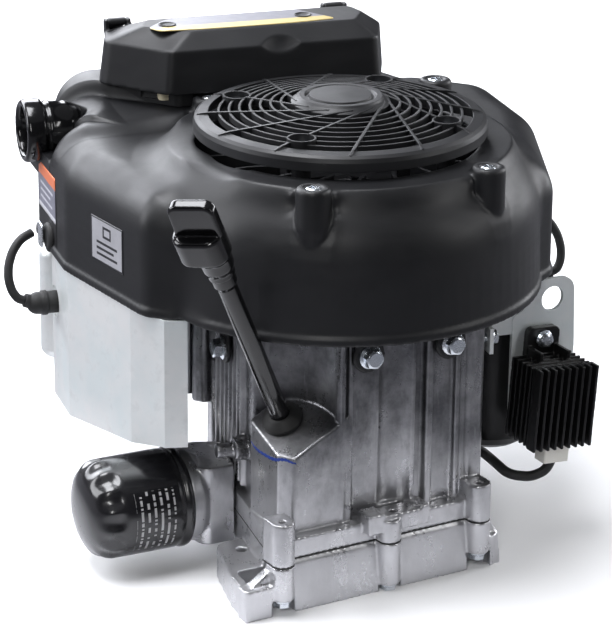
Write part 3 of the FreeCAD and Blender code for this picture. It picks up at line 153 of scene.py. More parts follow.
def cast_metal(name, dark, light, roughness):
    """Die-cast metal: cold-flow clouds, stains, a pitted skin, painted shade in recesses, lighter sharp
    outward edges and painted floor bounce light at the foot.
    """
    material, tree, bsdf, place = start_material(name, light)
    cloud = noise(tree, place, 16.0, 7.0, 0.62)
    stain = noise(tree, stretched(tree, place, (1.0, 1.0, 0.45)), 58.0, 8.0, 0.68)
    pit = noise(tree, place, 420.0, 4.0, 0.6)
    flow = noise(tree, stretched(tree, place, (1.0, 1.0, 0.18)), 120.0, 5.0)
    tone = mixed(tree, ranged(tree, cloud, 0.36, 0.64, 0.0, 1.0), dark, light)
    tone = mixed(tree, ranged(tree, stain, 0.52, 0.72, 0.0, 0.55), tone, [c * 0.45 for c in dark])
    tone = mixed(tree, ranged(tree, flow, 0.60, 0.75, 0.0, 0.4), tone, [min(1.0, c * 1.25) for c in light])
    # Lighter colour on sharp outward edges.
    tone = sharp_edge_tint(tree, tone, [min(1.0, c * 1.35) for c in light], 0.52, 0.60)
    # Painted shade: ambient occlusion darkens the colour in recesses, standing in for the shade that falls
    # there.
    open_share = node(tree, "AmbientOcclusion", {"Distance": RECESS_SHADE_REACH}, samples=6).outputs["AO"]
    recess_shaded = mixed(tree, 0.72, tone, RECESS_SHADE)
    tone = mixed(tree, ranged(tree, open_share, 0.35, 0.95, 0.0, 1.0), recess_shaded, tone)
    # Painted light: the colour grows paler towards the foot, standing in for light bounced up from the floor.
    height = node(tree, "SeparateXYZ", {"Vector": place}).outputs["Z"]
    tone = mixed(tree, ranged(tree, height, BOUNCE_FULL_BELOW, BOUNCE_GONE_ABOVE, 0.75, 0.0), tone, BOUNCE_LIGHT_TONE)
    stain_gloss = ranged(tree, stain, 0.35, 0.7, -0.06, 0.16)
    pit_gloss = ranged(tree, pit, 0.3, 0.7, -0.04, 0.05)
    shade = maths(tree, "ADD", stain_gloss, pit_gloss)
    tree.links.new(tone, bsdf.inputs["Base Color"])
    tree.links.new(maths(tree, "ADD", shade, roughness), bsdf.inputs["Roughness"])
    bsdf.inputs["Metallic"].default_value = 0.88
    heights = [(stain, 0.9 * MM, 0.10), (flow, 0.6 * MM, 0.10), (pit, 0.35 * MM, 0.16)]
    finish_surface(tree, bsdf, heights, 1.0 * MM)
    return material


def plated_metal(name, colour, roughness, tint, brush=0.12, edge=0.4 * MM, metallic=0.96):
    """Bright zinc or machined steel: faint colour clouds, a drawn grain and small marks."""
    material, tree, bsdf, place = start_material(name, colour)
    cloud = noise(tree, place, 21.0, 6.0, 0.6)
    patch = noise(tree, place, 70.0, 6.0, 0.65)
    grain = noise(tree, stretched(tree, place, (0.25, 0.25, 6.0)), 260.0, 3.0)
    tone = mixed(tree, ranged(tree, cloud, 0.38, 0.66, 0.0, 1.0), colour, tint)
    tone = mixed(tree, ranged(tree, patch, 0.55, 0.75, 0.0, 0.35), tone, [c * 0.62 for c in colour])
    patch_gloss = ranged(tree, patch, 0.3, 0.7, -0.05, 0.10)
    grain_gloss = ranged(tree, grain, 0.3, 0.7, -0.03, 0.05)
    gloss = maths(tree, "ADD", patch_gloss, grain_gloss)
    tree.links.new(tone, bsdf.inputs["Base Color"])
    tree.links.new(maths(tree, "ADD", gloss, roughness), bsdf.inputs["Roughness"])
    bsdf.inputs["Metallic"].default_value = metallic
    finish_surface(tree, bsdf, [(cloud, 1.2 * MM, 0.05), (grain, 0.2 * MM, brush)], edge)
    return material


def rubber(name, dark, light):
    """Matt rubber with a dusty bloom and a fine grain."""
    material, tree, bsdf, place = start_material(name, light)
    bloom = noise(tree, place, 60.0, 6.0)
    fine = noise(tree, place, 1400.0, 2.0)
    tone = mixed(tree, ranged(tree, bloom, 0.35, 0.7, 0.0, 1.0), dark, light)
    tree.links.new(tone, bsdf.inputs["Base Color"])
    tree.links.new(ranged(tree, bloom, 0.3, 0.7, 0.5, 0.68), bsdf.inputs["Roughness"])
    finish_surface(tree, bsdf, [(fine, 0.2 * MM, 0.2)], 0.4 * MM)
    return material


def wire_wrap(name, colour, dark):
    """Enamelled copper: fine turns with a lacquer gloss."""
    material, tree, bsdf, place = start_material(name, colour)
    turns = node(tree, "TexWave", {"Vector": place, "Scale": 520.0, "Distortion": 0.4}, bands_direction="Z")
    share = ranged(tree, turns.outputs["Fac"], 0.0, 1.0, 0.0, 1.0)
    tree.links.new(mixed(tree, share, dark, colour), bsdf.inputs["Base Color"])
    bsdf.inputs["Metallic"].default_value = 0.7
    bsdf.inputs["Roughness"].default_value = 0.3
    finish_surface(tree, bsdf, [(turns.outputs["Fac"], 0.4 * MM, 0.5)], 0.3 * MM)
    return material


def paper(name, light, dark):
    """Dusty filter paper with a fibrous skin."""
    material, tree, bsdf, place = start_material(name, light)
    fibre = noise(tree, place, 700.0, 6.0, 0.7)
    dust = noise(tree, place, 30.0, 4.0)
    tone = mixed(tree, ranged(tree, dust, 0.4, 0.7, 0.0, 0.7), light, dark)
    tree.links.new(tone, bsdf.inputs["Base Color"])
    bsdf.inputs["Roughness"].default_value = 0.9
    finish_surface(tree, bsdf, [(fibre, 0.2 * MM, 0.4)], 0.3 * MM)
    return material


# Print on the filter can: lines of dashes that run round it, by depth from the seat and by angle.
PRINT_PITCH = 5.2 * MM
PRINT_LINE = 0.36
PRINT_CELLS = 26.0
PRINT_BLANKS = 0.38
PRINT_DEPTH = (16.0 * MM, 47.0 * MM)
PRINT_ANGLE = (-0.72, 0.62)


def print_ink(tree, place, axis_from, axis, around):
    """1 on a dash of the can's print, 0 elsewhere."""
    offset = node(tree, "VectorMath", {0: place, 1: axis_from}, operation="SUBTRACT").outputs[0]
    depth = node(tree, "VectorMath", {0: offset, 1: axis}, operation="DOT_PRODUCT").outputs["Value"]
    up = node(tree, "SeparateXYZ", {"Vector": offset}).outputs["Z"]
    side = node(tree, "VectorMath", {0: offset, 1: around}, operation="DOT_PRODUCT").outputs["Value"]
    angle = maths(tree, "ARCTAN2", up, side)
    row = maths(tree, "MULTIPLY", depth, 1.0 / PRINT_PITCH)
    in_row = maths(tree, "LESS_THAN", maths(tree, "FRACT", row, 0.0), PRINT_LINE)
    column = maths(tree, "MULTIPLY", angle, PRINT_CELLS)
    spot = node(tree, "CombineXYZ", {"X": column, "Y": maths(tree, "FLOOR", row, 0.0)}).outputs[0]
    cell = node(tree, "VectorMath", {0: spot}, operation="FLOOR").outputs[0]
    chance = node(tree, "TexWhiteNoise", {"Vector": cell}).outputs["Value"]
    ink = maths(tree, "MULTIPLY", in_row, maths(tree, "GREATER_THAN", chance, PRINT_BLANKS))
    for value, (low, high) in ((depth, PRINT_DEPTH), (angle, PRINT_ANGLE)):
        ink = maths(tree, "MULTIPLY", ink, maths(tree, "GREATER_THAN", value, low))
        ink = maths(tree, "MULTIPLY", ink, maths(tree, "LESS_THAN", value, high))
    return maths(tree, "MULTIPLY", ink, maths(tree, "GREATER_THAN", side, 0.0))


def printed_can(name, axis_from, axis, around):
    """Gloss black paint with a patch of plain grey dashes, printed on the side that faces around."""
    material, tree, bsdf, place = start_material(name, (0.01, 0.01, 0.011))
    ink = print_ink(tree, place, axis_from, axis, around)
    cloud = noise(tree, place, 24.0, 3.0)
    share = ranged(tree, cloud, 0.3, 0.7, 0.0, 1.0)
    paint = mixed(tree, share, (0.006, 0.006, 0.007), (0.016, 0.016, 0.018))
    tree.links.new(mixed(tree, ink, paint, (0.42, 0.42, 0.42)), bsdf.inputs["Base Color"])
    tree.links.new(ranged(tree, cloud, 0.3, 0.7, 0.2, 0.3), bsdf.inputs["Roughness"])
    bsdf.inputs["Coat Weight"].default_value = 0.5
    bsdf.inputs["Coat Roughness"].default_value = 0.1
    finish_surface(tree, bsdf, [(noise(tree, place, 160.0, 2.0), 0.3 * MM, 0.08)], 0.6 * MM)
    return material


CAN_START = Vector((-132.0, -22.5, 47.0)) * MM
CAN_TURN = math.radians(8.0)
CAN_AXIS = Vector((-math.cos(CAN_TURN), -math.sin(CAN_TURN), 0.0))
CAN_SIDE = Vector((-CAN_AXIS.y, CAN_AXIS.x, 0.0))

MATERIALS = {
    "cast_aluminium": cast_metal("cast_aluminium", (0.13, 0.132, 0.142), (0.50, 0.50, 0.515), 0.30),
    "finned_aluminium": cast_metal("finned_aluminium", (0.15, 0.15, 0.158), (0.38, 0.38, 0.39), 0.4),
    "black_plastic": plastic("black_plastic", (0.0048, 0.005, 0.006), (0.0078, 0.0082, 0.0098),
                             0.45, 0.16, gleam=0.5),
    "gloss_black": plastic("gloss_black", (0.003, 0.003, 0.0033), (0.005, 0.005, 0.0055),
                           0.13, 0.02, 0.5 * MM, 0.4),
    "zinc_sheet": plated_metal("zinc_sheet", (0.93, 0.94, 0.93), 0.34, (0.84, 0.90, 0.90),
                               metallic=0.5),
    "zinc_fastener": plated_metal("zinc_fastener", (0.86, 0.88, 0.90), 0.2, (0.72, 0.78, 0.85)),
    "filter_paint": printed_can("filter_paint", CAN_START, CAN_AXIS, CAN_SIDE),
    "black_coating": plastic("black_coating", (0.003, 0.003, 0.003), (0.006, 0.006, 0.0065),
                             0.34, 0.12, 0.5 * MM),
    "rubber": rubber("rubber", (0.008, 0.008, 0.008), (0.018, 0.018, 0.018)),
    "gasket": rubber("gasket", (0.03, 0.03, 0.03), (0.06, 0.06, 0.06)),
    "white_plastic": plastic("white_plastic", (0.72, 0.70, 0.63), (0.84, 0.82, 0.76), 0.4, 0.1, 0.4 * MM),
    "steel": plated_metal("steel", (0.46, 0.46, 0.47), 0.3, (0.36, 0.36, 0.38)),
    "cast_iron": cast_metal("cast_iron", (0.09, 0.09, 0.09), (0.17, 0.17, 0.17), 0.5),
    "copper_winding": wire_wrap("copper_winding", (0.62, 0.28, 0.11), (0.2, 0.08, 0.03)),
    "bronze": plated_metal("bronze", (0.52, 0.36, 0.17), 0.34, (0.42, 0.28, 0.12)),
    "filter_paper": paper("filter_paper", (0.80, 0.74, 0.55), (0.62, 0.54, 0.38)),
}
NODE_SLOTS = {row["node"]: row["material_slot"] for row in frame["record"]["subparts"]}


def dress_frame():
    """Give every CAD node the material of its slot."""
    for name, cad in frame["nodes"].items():
        cad.data.materials.clear()
        cad.data.materials.append(MATERIALS[NODE_SLOTS[name]])


# ---- softened castings and mouldings -------------------------------------------------------------
# Each row: node, voxel, smoothing passes. The remesh rounds edges and blends walls that meet.
SOFT_NODES = (
    ("crankcase", 1.0 * MM, 4),
    ("oil_sump", 1.0 * MM, 4),
    ("filter_adapter", 0.9 * MM, 5),
    ("air_cleaner_cover", 1.0 * MM, 6),
    ("dipstick", 0.6 * MM, 6),
    ("plug_boot_left", 0.5 * MM, 4),
    ("plug_boot_right", 0.5 * MM, 4),
    ("tube_grommet", 0.5 * MM, 3),
    ("cover_latch_left", 0.5 * MM, 3),
    ("cover_latch_right", 0.5 * MM, 3),
    ("voltage_regulator", 0.45 * MM, 3),
)


def soften(owner, voxel, passes):
    """Remesh an object finely and smooth it, by modifiers only."""
    weld = owner.modifiers.new("weld", "WELD")
    weld.merge_threshold = 0.002 * MM
    remesh = owner.modifiers.new("round", "REMESH")
    remesh.mode = "VOXEL"
    remesh.voxel_size = voxel
    remesh.use_smooth_shade = True
    smooth = owner.modifiers.new("relax", "SMOOTH")
    smooth.factor = 0.5
    smooth.iterations = passes


# ---- sculpted blower housing ---------------------------------------------------------------------
# Places and distances in this section are in mm.
def rounded_copy(name, voxel, passes):
    """Mesh of a CAD node with rounded edges, in the frame; the node itself stays as it is."""
    cad = frame["nodes"][name]
    work = bpy.data.objects.new(name + "_work", cad.data.copy())
    bpy.context.scene.collection.objects.link(work)
    soften(work, voxel, passes)
    bpy.context.view_layer.update()
    graph = bpy.context.evaluated_depsgraph_get()
    mesh = bpy.data.meshes.new_from_object(work.evaluated_get(graph))
    mesh.transform(cad.matrix_world)
    bpy.data.objects.remove(work)
    return mesh


def ease(share):
    """Smooth step from 0 to 1."""
    share = np.clip(share, 0.0, 1.0)
    return share * share * (3.0 - 2.0 * share)


def fade(distance, width):
    """0 up to distance 0, easing to 1 over a width."""
    return ease(distance / width)


def relax(points, edges, share, passes):
    """Draw each vertex towards the mean of its neighbours by its share, pass after pass."""
    near = edges[(share[edges[:, 0]] > 0.0) | (share[edges[:, 1]] > 0.0)]
    used, local = np.unique(near, return_inverse=True)
    local = local.reshape(-1, 2)
    part = points[used].copy()
    weight = share[used, None]
    count = len(used)
    degree = np.maximum(np.bincount(local.ravel(), minlength=count), 1)[:, None]
    for _ in range(passes):
        total = np.empty_like(part)
        for axis in range(3):
            first = np.bincount(local[:, 0], part[local[:, 1], axis], count)
            second = np.bincount(local[:, 1], part[local[:, 0], axis], count)
            total[:, axis] = first + second
        part += (total / degree - part) * weight
    points[used] = part


def within(points, centre, reach):
    """Share of 1 at the centre, easing to 0 at the edge of an ellipsoid."""
    return ease(1.6 * (1.0 - np.linalg.norm((points - centre) / reach, axis=1)))


# Centre, reach and passes of each place where the moulding flows from one form into the next.
HOUSING_BLENDS = (
    ((-122.0, -58.0, 258.0), (50.0, 46.0, 66.0), 220),
    ((-128.0, 108.0, 298.0), (50.0, 30.0, 26.0), 160),
    ((-116.0, 30.0, 284.0), (34.0, 78.0, 40.0), 260),
    ((-108.0, -45.0, 284.0), (34.0, 44.0, 40.0), 220),
)

# Screw bosses, and the ring below the platform's edge that is drawn into one soft step.
BOSS_PLACES = ((-60.0, -122.0), (74.0, -110.0), (-66.0, 118.0), (110.0, 98.0))
SHOULDER_BOSS = BOSS_PLACES[2]
BOSS_CLEAR = 17.0
PLATFORM_EDGE = 138.0
RING_HALF = 15.0
RING_INNER = 126.0
RING_LOW = 240.0
RING_SHARE = 0.7
RING_PASSES = 120


def ring_share(points):
    """Share of the ring below the platform's edge, clear of the screw bosses."""
    radius = np.hypot(points[:, 0], points[:, 1])
    share = fade(RING_HALF - np.abs(radius - PLATFORM_EDGE), 6.0) * fade(points[:, 2] - RING_LOW, 16.0)
    share *= fade(radius - RING_INNER, 4.0)
    for x, y in BOSS_PLACES:
        share *= fade(np.hypot(points[:, 0] - x, points[:, 1] - y) - BOSS_CLEAR, 5.0)
    return share * RING_SHARE


# The shoulder behind the left lobe: its field of heights steps up twice towards the air cleaner. A
# step's line runs from its open end to its tip, and its fade is the share of the line that dies out.
SHOULDER_X = (-192.3, -74.0)
SHOULDER_Y = (96.0, 207.0)
LOBE_LEVEL = 296.0
LOBE_RISE = 5.0
LOBE_RUN = 45.0
LOWER_STEP = ((-183.0, 152.0), (-130.0, 108.0))
LOWER_RISE = 6.5
LOWER_WIDTH = 2.4
LOWER_FADE = 0.8
UPPER_STEP = ((-152.0, 186.0), (-84.0, 129.0))
UPPER_RISE = 10.5
UPPER_WIDTH = 3.0
UPPER_FADE = 0.24

# Its open side is rounded, straight by the lobe and raked back towards the duct.
SIDE_ROUND = 30.0
SIDE_SHORT = 0.5
SIDE_START = -162.0
SIDE_RAKE = 26.0
RAKE_FROM = 110.0
RAKE_RUN = 44.0

# Where it melts into its neighbours, and the moulding that is pushed below it.
MELT_BOSS = 13.5
MELT_PLATFORM = 134.0
SKIN_PITCH = 1.1
SKIN_LIFT = 0.15
SKIRT_LOW = 250.0
CAST_FROM = 400.0
DROP_REAR = 12.0
DROP_LOW = 262.0
DROP_GAP = 2.0


def behind(line, x, y):
    """Distance behind a line and share of the way along it."""
    start, end = np.array(line[0]), np.array(line[1])
    length = np.linalg.norm(end - start)
    run = (end - start) / length
    across, up = x - start[0], y - start[1]
    return run[0] * up - run[1] * across, (across * run[0] + up * run[1]) / length


def open_side(y):
    """X where the rounding of the open side starts."""
    return SIDE_START + SIDE_RAKE * fade(y - RAKE_FROM, RAKE_RUN)


def step_up(line, width, dying, x, y):
    """0 in front of a step's line and 1 behind it, dying out towards the line's tip."""
    back, travel = behind(line, x, y)
    return ease(back / width + 0.5) * ease((1.0 - travel) / dying)


def shoulder_height(x, y):
    """Height of the shoulder above the mounting face."""
    gentle = LOBE_RISE * fade(behind(LOWER_STEP, x, y)[0], LOBE_RUN)
    lower = LOWER_RISE * step_up(LOWER_STEP, LOWER_WIDTH, LOWER_FADE, x, y)
    upper = UPPER_RISE * step_up(UPPER_STEP, UPPER_WIDTH, UPPER_FADE, x, y)
    inset = np.clip(open_side(y) - x, 0.0, SIDE_ROUND - SIDE_SHORT)
    rounding = np.sqrt(SIDE_ROUND ** 2 - inset ** 2) - SIDE_ROUND
    return LOBE_LEVEL + np.maximum(gentle, lower) + upper + rounding


def shoulder_blend(x, y):
    """1 on the shoulder itself, easing to 0 where it melts into the lobe, the boss and the platform."""
    share = fade(y - SHOULDER_Y[0], 24.0) * fade(SHOULDER_X[1] - x, 12.0)
    share = share * fade(np.hypot(x - SHOULDER_BOSS[0], y - SHOULDER_BOSS[1]) - MELT_BOSS, 7.0)
    return share * fade(np.hypot(x, y) - MELT_PLATFORM, 14.0)


def drop_under(points):
    """Push the moulding's own surface just below the shoulder."""
    x, y = points[:, 0], points[:, 1]
    inside = (x > SHOULDER_X[0]) & (x < SHOULDER_X[1])
    inside &= (y > SHOULDER_Y[0]) & (y < SHOULDER_Y[1] + DROP_REAR)
    inside &= points[:, 2] > DROP_LOW
    share = shoulder_blend(x, y)
    ceiling = shoulder_height(x, np.minimum(y, SHOULDER_Y[1])) - DROP_GAP
    lower = inside & (points[:, 2] > ceiling)
    points[lower, 2] += (ceiling - points[:, 2])[lower] * share[lower]


def shoulder_grid(surface):
    """Points of the shoulder row by row, melted into the moulding's surface, and both counts."""
    xs = np.arange(SHOULDER_X[0], SHOULDER_X[1] + 0.5, SKIN_PITCH)
    ys = np.arange(SHOULDER_Y[0], SHOULDER_Y[1] + 0.5, SKIN_PITCH)
    x, y = np.meshgrid(xs, ys)
    height = shoulder_height(x, y)
    share = shoulder_blend(x, y)
    for i in range(len(ys)):
        for k in range(len(xs)):
            hit = surface.ray_cast(Vector((xs[k], ys[i], CAST_FROM)) * MM, DOWN)[0]
            if hit is not None and share[i, k] < 1.0:
                height[i, k] += (hit.z / MM + SKIN_LIFT - height[i, k]) * (1.0 - share[i, k])
    verts = [Vector(p) * MM for p in zip(x.ravel(), y.ravel(), height.ravel())]
    return verts, len(ys), len(xs)


def add_skirt(verts, faces, rim):
    """Wall from a rim of points down to the skirt's level."""
    start = len(verts)
    for index in rim:
        verts.append(verts[index].copy())
        verts.append(Vector((verts[index].x, verts[index].y, SKIRT_LOW * MM)))
    for k in range(len(rim) - 1):
        first = start + 2 * k
        faces.append((first, first + 1, first + 3, first + 2))


def shoulder(surface):
    """Skin over the intake duct, from the lobe up to the air cleaner, with skirts down its open sides."""
    verts, rows, wide = shoulder_grid(surface)
    faces = grid_faces(rows, wide)
    add_skirt(verts, faces, [i * wide for i in range(rows)])
    add_skirt(verts, faces, [(rows - 1) * wide + k for k in range(wide)])
    mesh = mesh_of("housing_shoulder", verts, faces)
    piece("housing_shoulder", mesh, "engine", "black_plastic")


def blower_housing():
    """Housing with flowing forms; returns its surface for the labels."""
    mesh = rounded_copy("blower_housing", 1.25 * MM, 8)
    points = np.empty(len(mesh.vertices) * 3)
    mesh.vertices.foreach_get("co", points)
    points = points.reshape(-1, 3) / MM
    edges = np.empty(len(mesh.edges) * 2, dtype=np.int64)
    mesh.edges.foreach_get("vertices", edges)
    edges = edges.reshape(-1, 2)
    for centre, reach, passes in HOUSING_BLENDS:
        relax(points, edges, within(points, np.array(centre), np.array(reach)), passes)
    relax(points, edges, ring_share(points), RING_PASSES)
    mesh.vertices.foreach_set("co", (points * MM).ravel())
    mesh.update()
    shoulder(surface_of(mesh))
    drop_under(points)
    mesh.vertices.foreach_set("co", (points * MM).ravel())
    mesh.update()
    mesh.materials.clear()
    made = piece("blower_housing_shell", mesh, "engine", "black_plastic")
    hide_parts("blower_housing")
    return surface_of(mesh)


def surface_of(mesh):
    """Search tree of a mesh's faces."""
    verts = [v.co.copy() for v in mesh.vertices]
    return BVHTree.FromPolygons(verts, [tuple(p.vertices) for p in mesh.polygons])


# ---- mesh helpers --------------------------------------------------------------------------------
def piece(name, mesh, body, slot, material=None):
    """Add a mesh that rides a body, in its slot's material unless it has its own."""
    made = bpy.data.objects.new(name, mesh)
    bpy.context.scene.collection.objects.link(made)
    mesh.materials.append(material or MATERIALS[slot])
    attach(made, body)
    return made


def mesh_of(name, verts, faces, smooth=True):
    """Mesh with its normals turned outward."""
    mesh = bpy.data.meshes.new(name)
    mesh.from_pydata([tuple(v) for v in verts], [], faces)
    build = bmesh.new()
    build.from_mesh(mesh)
    bmesh.ops.recalc_face_normals(build, faces=build.faces)
    build.to_mesh(mesh)
    build.free()
    if smooth:
        mesh.shade_smooth()
    return mesh


def grid_faces(rows, wide, base=0):
    """Quads of a grid of points that starts at index base, row by row."""
    faces = []
    for i in range(rows - 1):
        for k in range(wide - 1):
            first = base + i * wide + k
            faces.append((first, first + 1, first + wide + 1, first + wide))
    return faces


def ring_faces(rings, count):
    """Quads between neighbouring closed rings of count points."""
    faces = []
    for i in range(rings - 1):
        for k in range(count):
            j = (k + 1) % count
            faces.append((i * count + k, i * count + j, (i + 1) * count + j, (i + 1) * count + k))
    return faces


def end_faces(rings, count):
    """The two faces that close a stack of rings."""
    last = (rings - 1) * count
    return [tuple(range(count)), tuple(last + k for k in range(count))]


def turned_mesh(name, profile, place, segments=96, shape=None):
    """Turn a profile of (radius, height) in mm about local Z; shape can change each radius."""
    verts = []
    for r, z in ((r * MM, z * MM) for r, z in profile):
        for k in range(segments):
            angle = 2.0 * math.pi * k / segments
            reach = shape(r, angle, z) if shape else r
            verts.append(place @ Vector((reach * math.cos(angle), reach * math.sin(angle), z)))
    faces = ring_faces(len(profile), segments) + end_faces(len(profile), segments)
    return mesh_of(name, verts, faces)


def along(start, direction):
    """Matrix that carries local +Z onto direction, from start."""
    turn = UP.rotation_difference(direction).to_matrix().to_4x4()
    return Matrix.Translation(start) @ turn


def plate_mesh(name, outline, origin, right, up, out, thickness):
    """Plate with a bevelled rim: outline points lie along right and up from origin."""
    centre = (sum(p[0] for p in outline) / len(outline), sum(p[1] for p in outline) / len(outline))
    rings = ((1.0, 0.0), (1.0, thickness * 0.6), (0.985, thickness), (0.6, thickness), (0.2, thickness))
    verts = []
    for share, height in rings:
        for a, b in outline:
            a = centre[0] + (a - centre[0]) * share
            b = centre[1] + (b - centre[1]) * share
            verts.append(origin + right * a + up * b + out * height)
    faces = ring_faces(len(rings), len(outline)) + end_faces(len(rings), len(outline))
    return mesh_of(name, verts, faces, smooth=False)


def rounded_rectangle(width, height, r, steps=6):
    """Outline from the corner (0, 0) to (width, height), all in mm."""
    points = []
    for cx, cy, start in ((width - r, r, -90), (width - r, height - r, 0), (r, height - r, 90), (r, r, 180)):
        for k in range(steps + 1):
            angle = math.radians(start + 90.0 * k / steps)
            points.append(((cx + r * math.cos(angle)) * MM, (cy + r * math.sin(angle)) * MM))
    return points


# ---- labels and marks ----------------------------------------------------------------------------
INK = (0.03, 0.03, 0.035)
FOIL_SILVER = (0.46, 0.46, 0.49)
FOIL_GREY = (0.24, 0.24, 0.30)
FOIL_ORANGE = (0.86, 0.23, 0.10)
FOIL_PALE = (0.72, 0.72, 0.76)
FOIL_BARS = (0.62, 0.62, 0.68)
FOIL_GRID = (28, 20)
FOIL_LIFTS = (0.05 * MM, 0.35 * MM)


def panel(name, origin, right, up, ground, marks):
    """Printed foil: plain marks (left, right, low, high, colour), in mm from its corner, on a ground."""
    material, tree, bsdf, place = start_material(name, ground)
    offset = node(tree, "VectorMath", {0: place, 1: origin}, operation="SUBTRACT").outputs[0]
    across = node(tree, "VectorMath", {0: offset, 1: right}, operation="DOT_PRODUCT").outputs["Value"]
    rise = node(tree, "VectorMath", {0: offset, 1: up}, operation="DOT_PRODUCT").outputs["Value"]
    haze = noise(tree, place, 90.0, 3.0)
    tone = mixed(tree, ranged(tree, haze, 0.3, 0.7, 0.0, 1.0), ground, [c * 0.86 for c in ground])
    for left, right_end, low, high, colour in marks:
        mask = 1.0
        for value, edge, side in ((across, left, "GREATER_THAN"), (across, right_end, "LESS_THAN"),
                                  (rise, low, "GREATER_THAN"), (rise, high, "LESS_THAN")):
            mask = maths(tree, "MULTIPLY", mask, maths(tree, side, value, edge * MM))
        tone = mixed(tree, mask, tone, colour)
    tree.links.new(tone, bsdf.inputs["Base Color"])
    tree.links.new(ranged(tree, haze, 0.3, 0.7, 0.28, 0.4), bsdf.inputs["Roughness"])
    bsdf.inputs["Metallic"].default_value = 0.15
    finish_surface(tree, bsdf, [(haze, 0.3 * MM, 0.05)], 0.3 * MM)
    return material


def grid_rim(rows, wide):
    """Indices round the edge of a grid, in order."""
    rim = list(range(wide)) + [i * wide + wide - 1 for i in range(1, rows)]
    rim += [(rows - 1) * wide + k for k in range(wide - 2, -1, -1)]
    return rim + [i * wide for i in range(rows - 2, 0, -1)]


def foil(name, surface, origin, right, up, size, material):
    """Thin sheet laid on the housing: a grid from its lower left corner, each point on the nearest skin."""
    columns, lines = FOIL_GRID
    verts = []
    for lift in FOIL_LIFTS:
        for i in range(lines + 1):
            for k in range(columns + 1):
                spot = origin + right * (size[0] * k / columns) + up * (size[1] * i / lines)
                hit, normal = surface.find_nearest(spot)[:2]
                verts.append(hit + normal * lift)
    layer = (lines + 1) * (columns + 1)
    faces = grid_faces(lines + 1, columns + 1) + grid_faces(lines + 1, columns + 1, layer)
    rim = grid_rim(lines + 1, columns + 1)
    for a, b in zip(rim, rim[1:] + rim[:1]):
        faces.append((a, b, b + layer, a + layer))
    piece(name, mesh_of(name, verts, faces), "engine", "black_plastic", material)


def wall_label(surface):
    """Silver label on the slanted wall: a dark border, a square and three bars."""
    right = Vector((0.271, -0.963, 0.0))
    origin = Vector((-181.8, 28.0, 222.5)) * MM
    border = [(-1.0, 48.0, -1.0, 1.5, INK), (-1.0, 48.0, 32.5, 36.0, INK),
              (-1.0, 1.5, -1.0, 36.0, INK), (44.5, 48.0, -1.0, 36.0, INK)]
    bars = [(8.0, 38.0, 5.5, 7.5, INK), (8.0, 33.0, 10.0, 12.0, INK), (8.0, 38.0, 14.5, 16.5, INK)]
    square = [(17.0, 29.0, 20.0, 29.0, INK), (19.0, 27.0, 22.0, 27.0, FOIL_SILVER)]
    made = panel("label_wall_print", origin, right, UP, FOIL_SILVER, border + bars + square)
    foil("wall_label", surface, origin, right, UP, (46.0 * MM, 34.0 * MM), made)


def end_label(surface):
    """Grey label with an orange head on the left end wall."""
    origin = Vector((-192.4, 151.5, 226.0)) * MM
    bands = [(-1.0, 60.0, 26.5, 40.0, FOIL_ORANGE), (-1.0, 60.0, -1.0, 4.0, FOIL_PALE)]
    bars = [(6.0, 46.0, 19.5, 21.5, FOIL_BARS), (6.0, 38.0, 14.0, 16.0, FOIL_BARS),
            (6.0, 44.0, 8.5, 10.5, FOIL_BARS)]
    made = panel("label_end_print", origin, FRONT, UP, FOIL_GREY, bands + bars)
    foil("end_label", surface, origin, FRONT, UP, (54.0 * MM, 36.0 * MM), made)


# Trim plate on the air cleaner cover: its corners and the line between its two tones, in mm.
COVER_TOP = 358.0
DECAL_CORNERS = ((-104.0, 153.0), (-84.0, 175.0), (22.0, 175.0), (32.0, 160.0),
                 (44.0, 142.0), (6.0, 138.0), (-55.0, 138.0), (-98.0, 141.0))
DECAL_SPLIT = 151.5
DECAL_STEPS = 8
DECAL_CUT = 0.3
DECAL_SUNK = 0.15
DIMPLE_PROFILE = ((6.6, 0.3), (6.8, 1.1), (6.2, 1.4), (5.4, 1.1), (4.9, 0.8), (2.0, 0.75))
DIMPLE_PLACES = (("left", -88.0, 157.0), ("right", 21.0, 157.0))


def decal_outline():
    """The trim plate's outline, each corner rounded by a quadratic curve."""
    outline = []
    count = len(DECAL_CORNERS)
    for k, corner in enumerate(DECAL_CORNERS):
        corner = Vector(corner)
        before = Vector(DECAL_CORNERS[k - 1])
        after = Vector(DECAL_CORNERS[(k + 1) % count])
        reach = DECAL_CUT * min((before - corner).length, (after - corner).length)
        start = corner + (before - corner).normalized() * reach
        end = corner + (after - corner).normalized() * reach
        for i in range(DECAL_STEPS + 1):
            share = i / DECAL_STEPS
            spot = start * (1.0 - share) ** 2 + corner * (2.0 * share * (1.0 - share)) + end * share ** 2
            outline.append((spot.x * MM, spot.y * MM))
    return outline


def decal_material():
    """Grey foil with a cream band along its front."""
    material, tree, bsdf, place = start_material("cover_decal_print", (0.5, 0.5, 0.56))
    depth = node(tree, "SeparateXYZ", {"Vector": place}).outputs["Y"]
    haze = noise(tree, place, 120.0, 3.0)
    grey = mixed(tree, haze, (0.15, 0.15, 0.18), (0.19, 0.19, 0.22))
    cream = mixed(tree, haze, (0.46, 0.36, 0.13), (0.52, 0.42, 0.17))
    tone = mixed(tree, maths(tree, "LESS_THAN", depth, DECAL_SPLIT * MM), grey, cream)
    tree.links.new(tone, bsdf.inputs["Base Color"])
    tree.links.new(ranged(tree, haze, 0.3, 0.7, 0.3, 0.42), bsdf.inputs["Roughness"])
    finish_surface(tree, bsdf, [(haze, 0.2 * MM, 0.05)], 0.3 * MM)
    return material


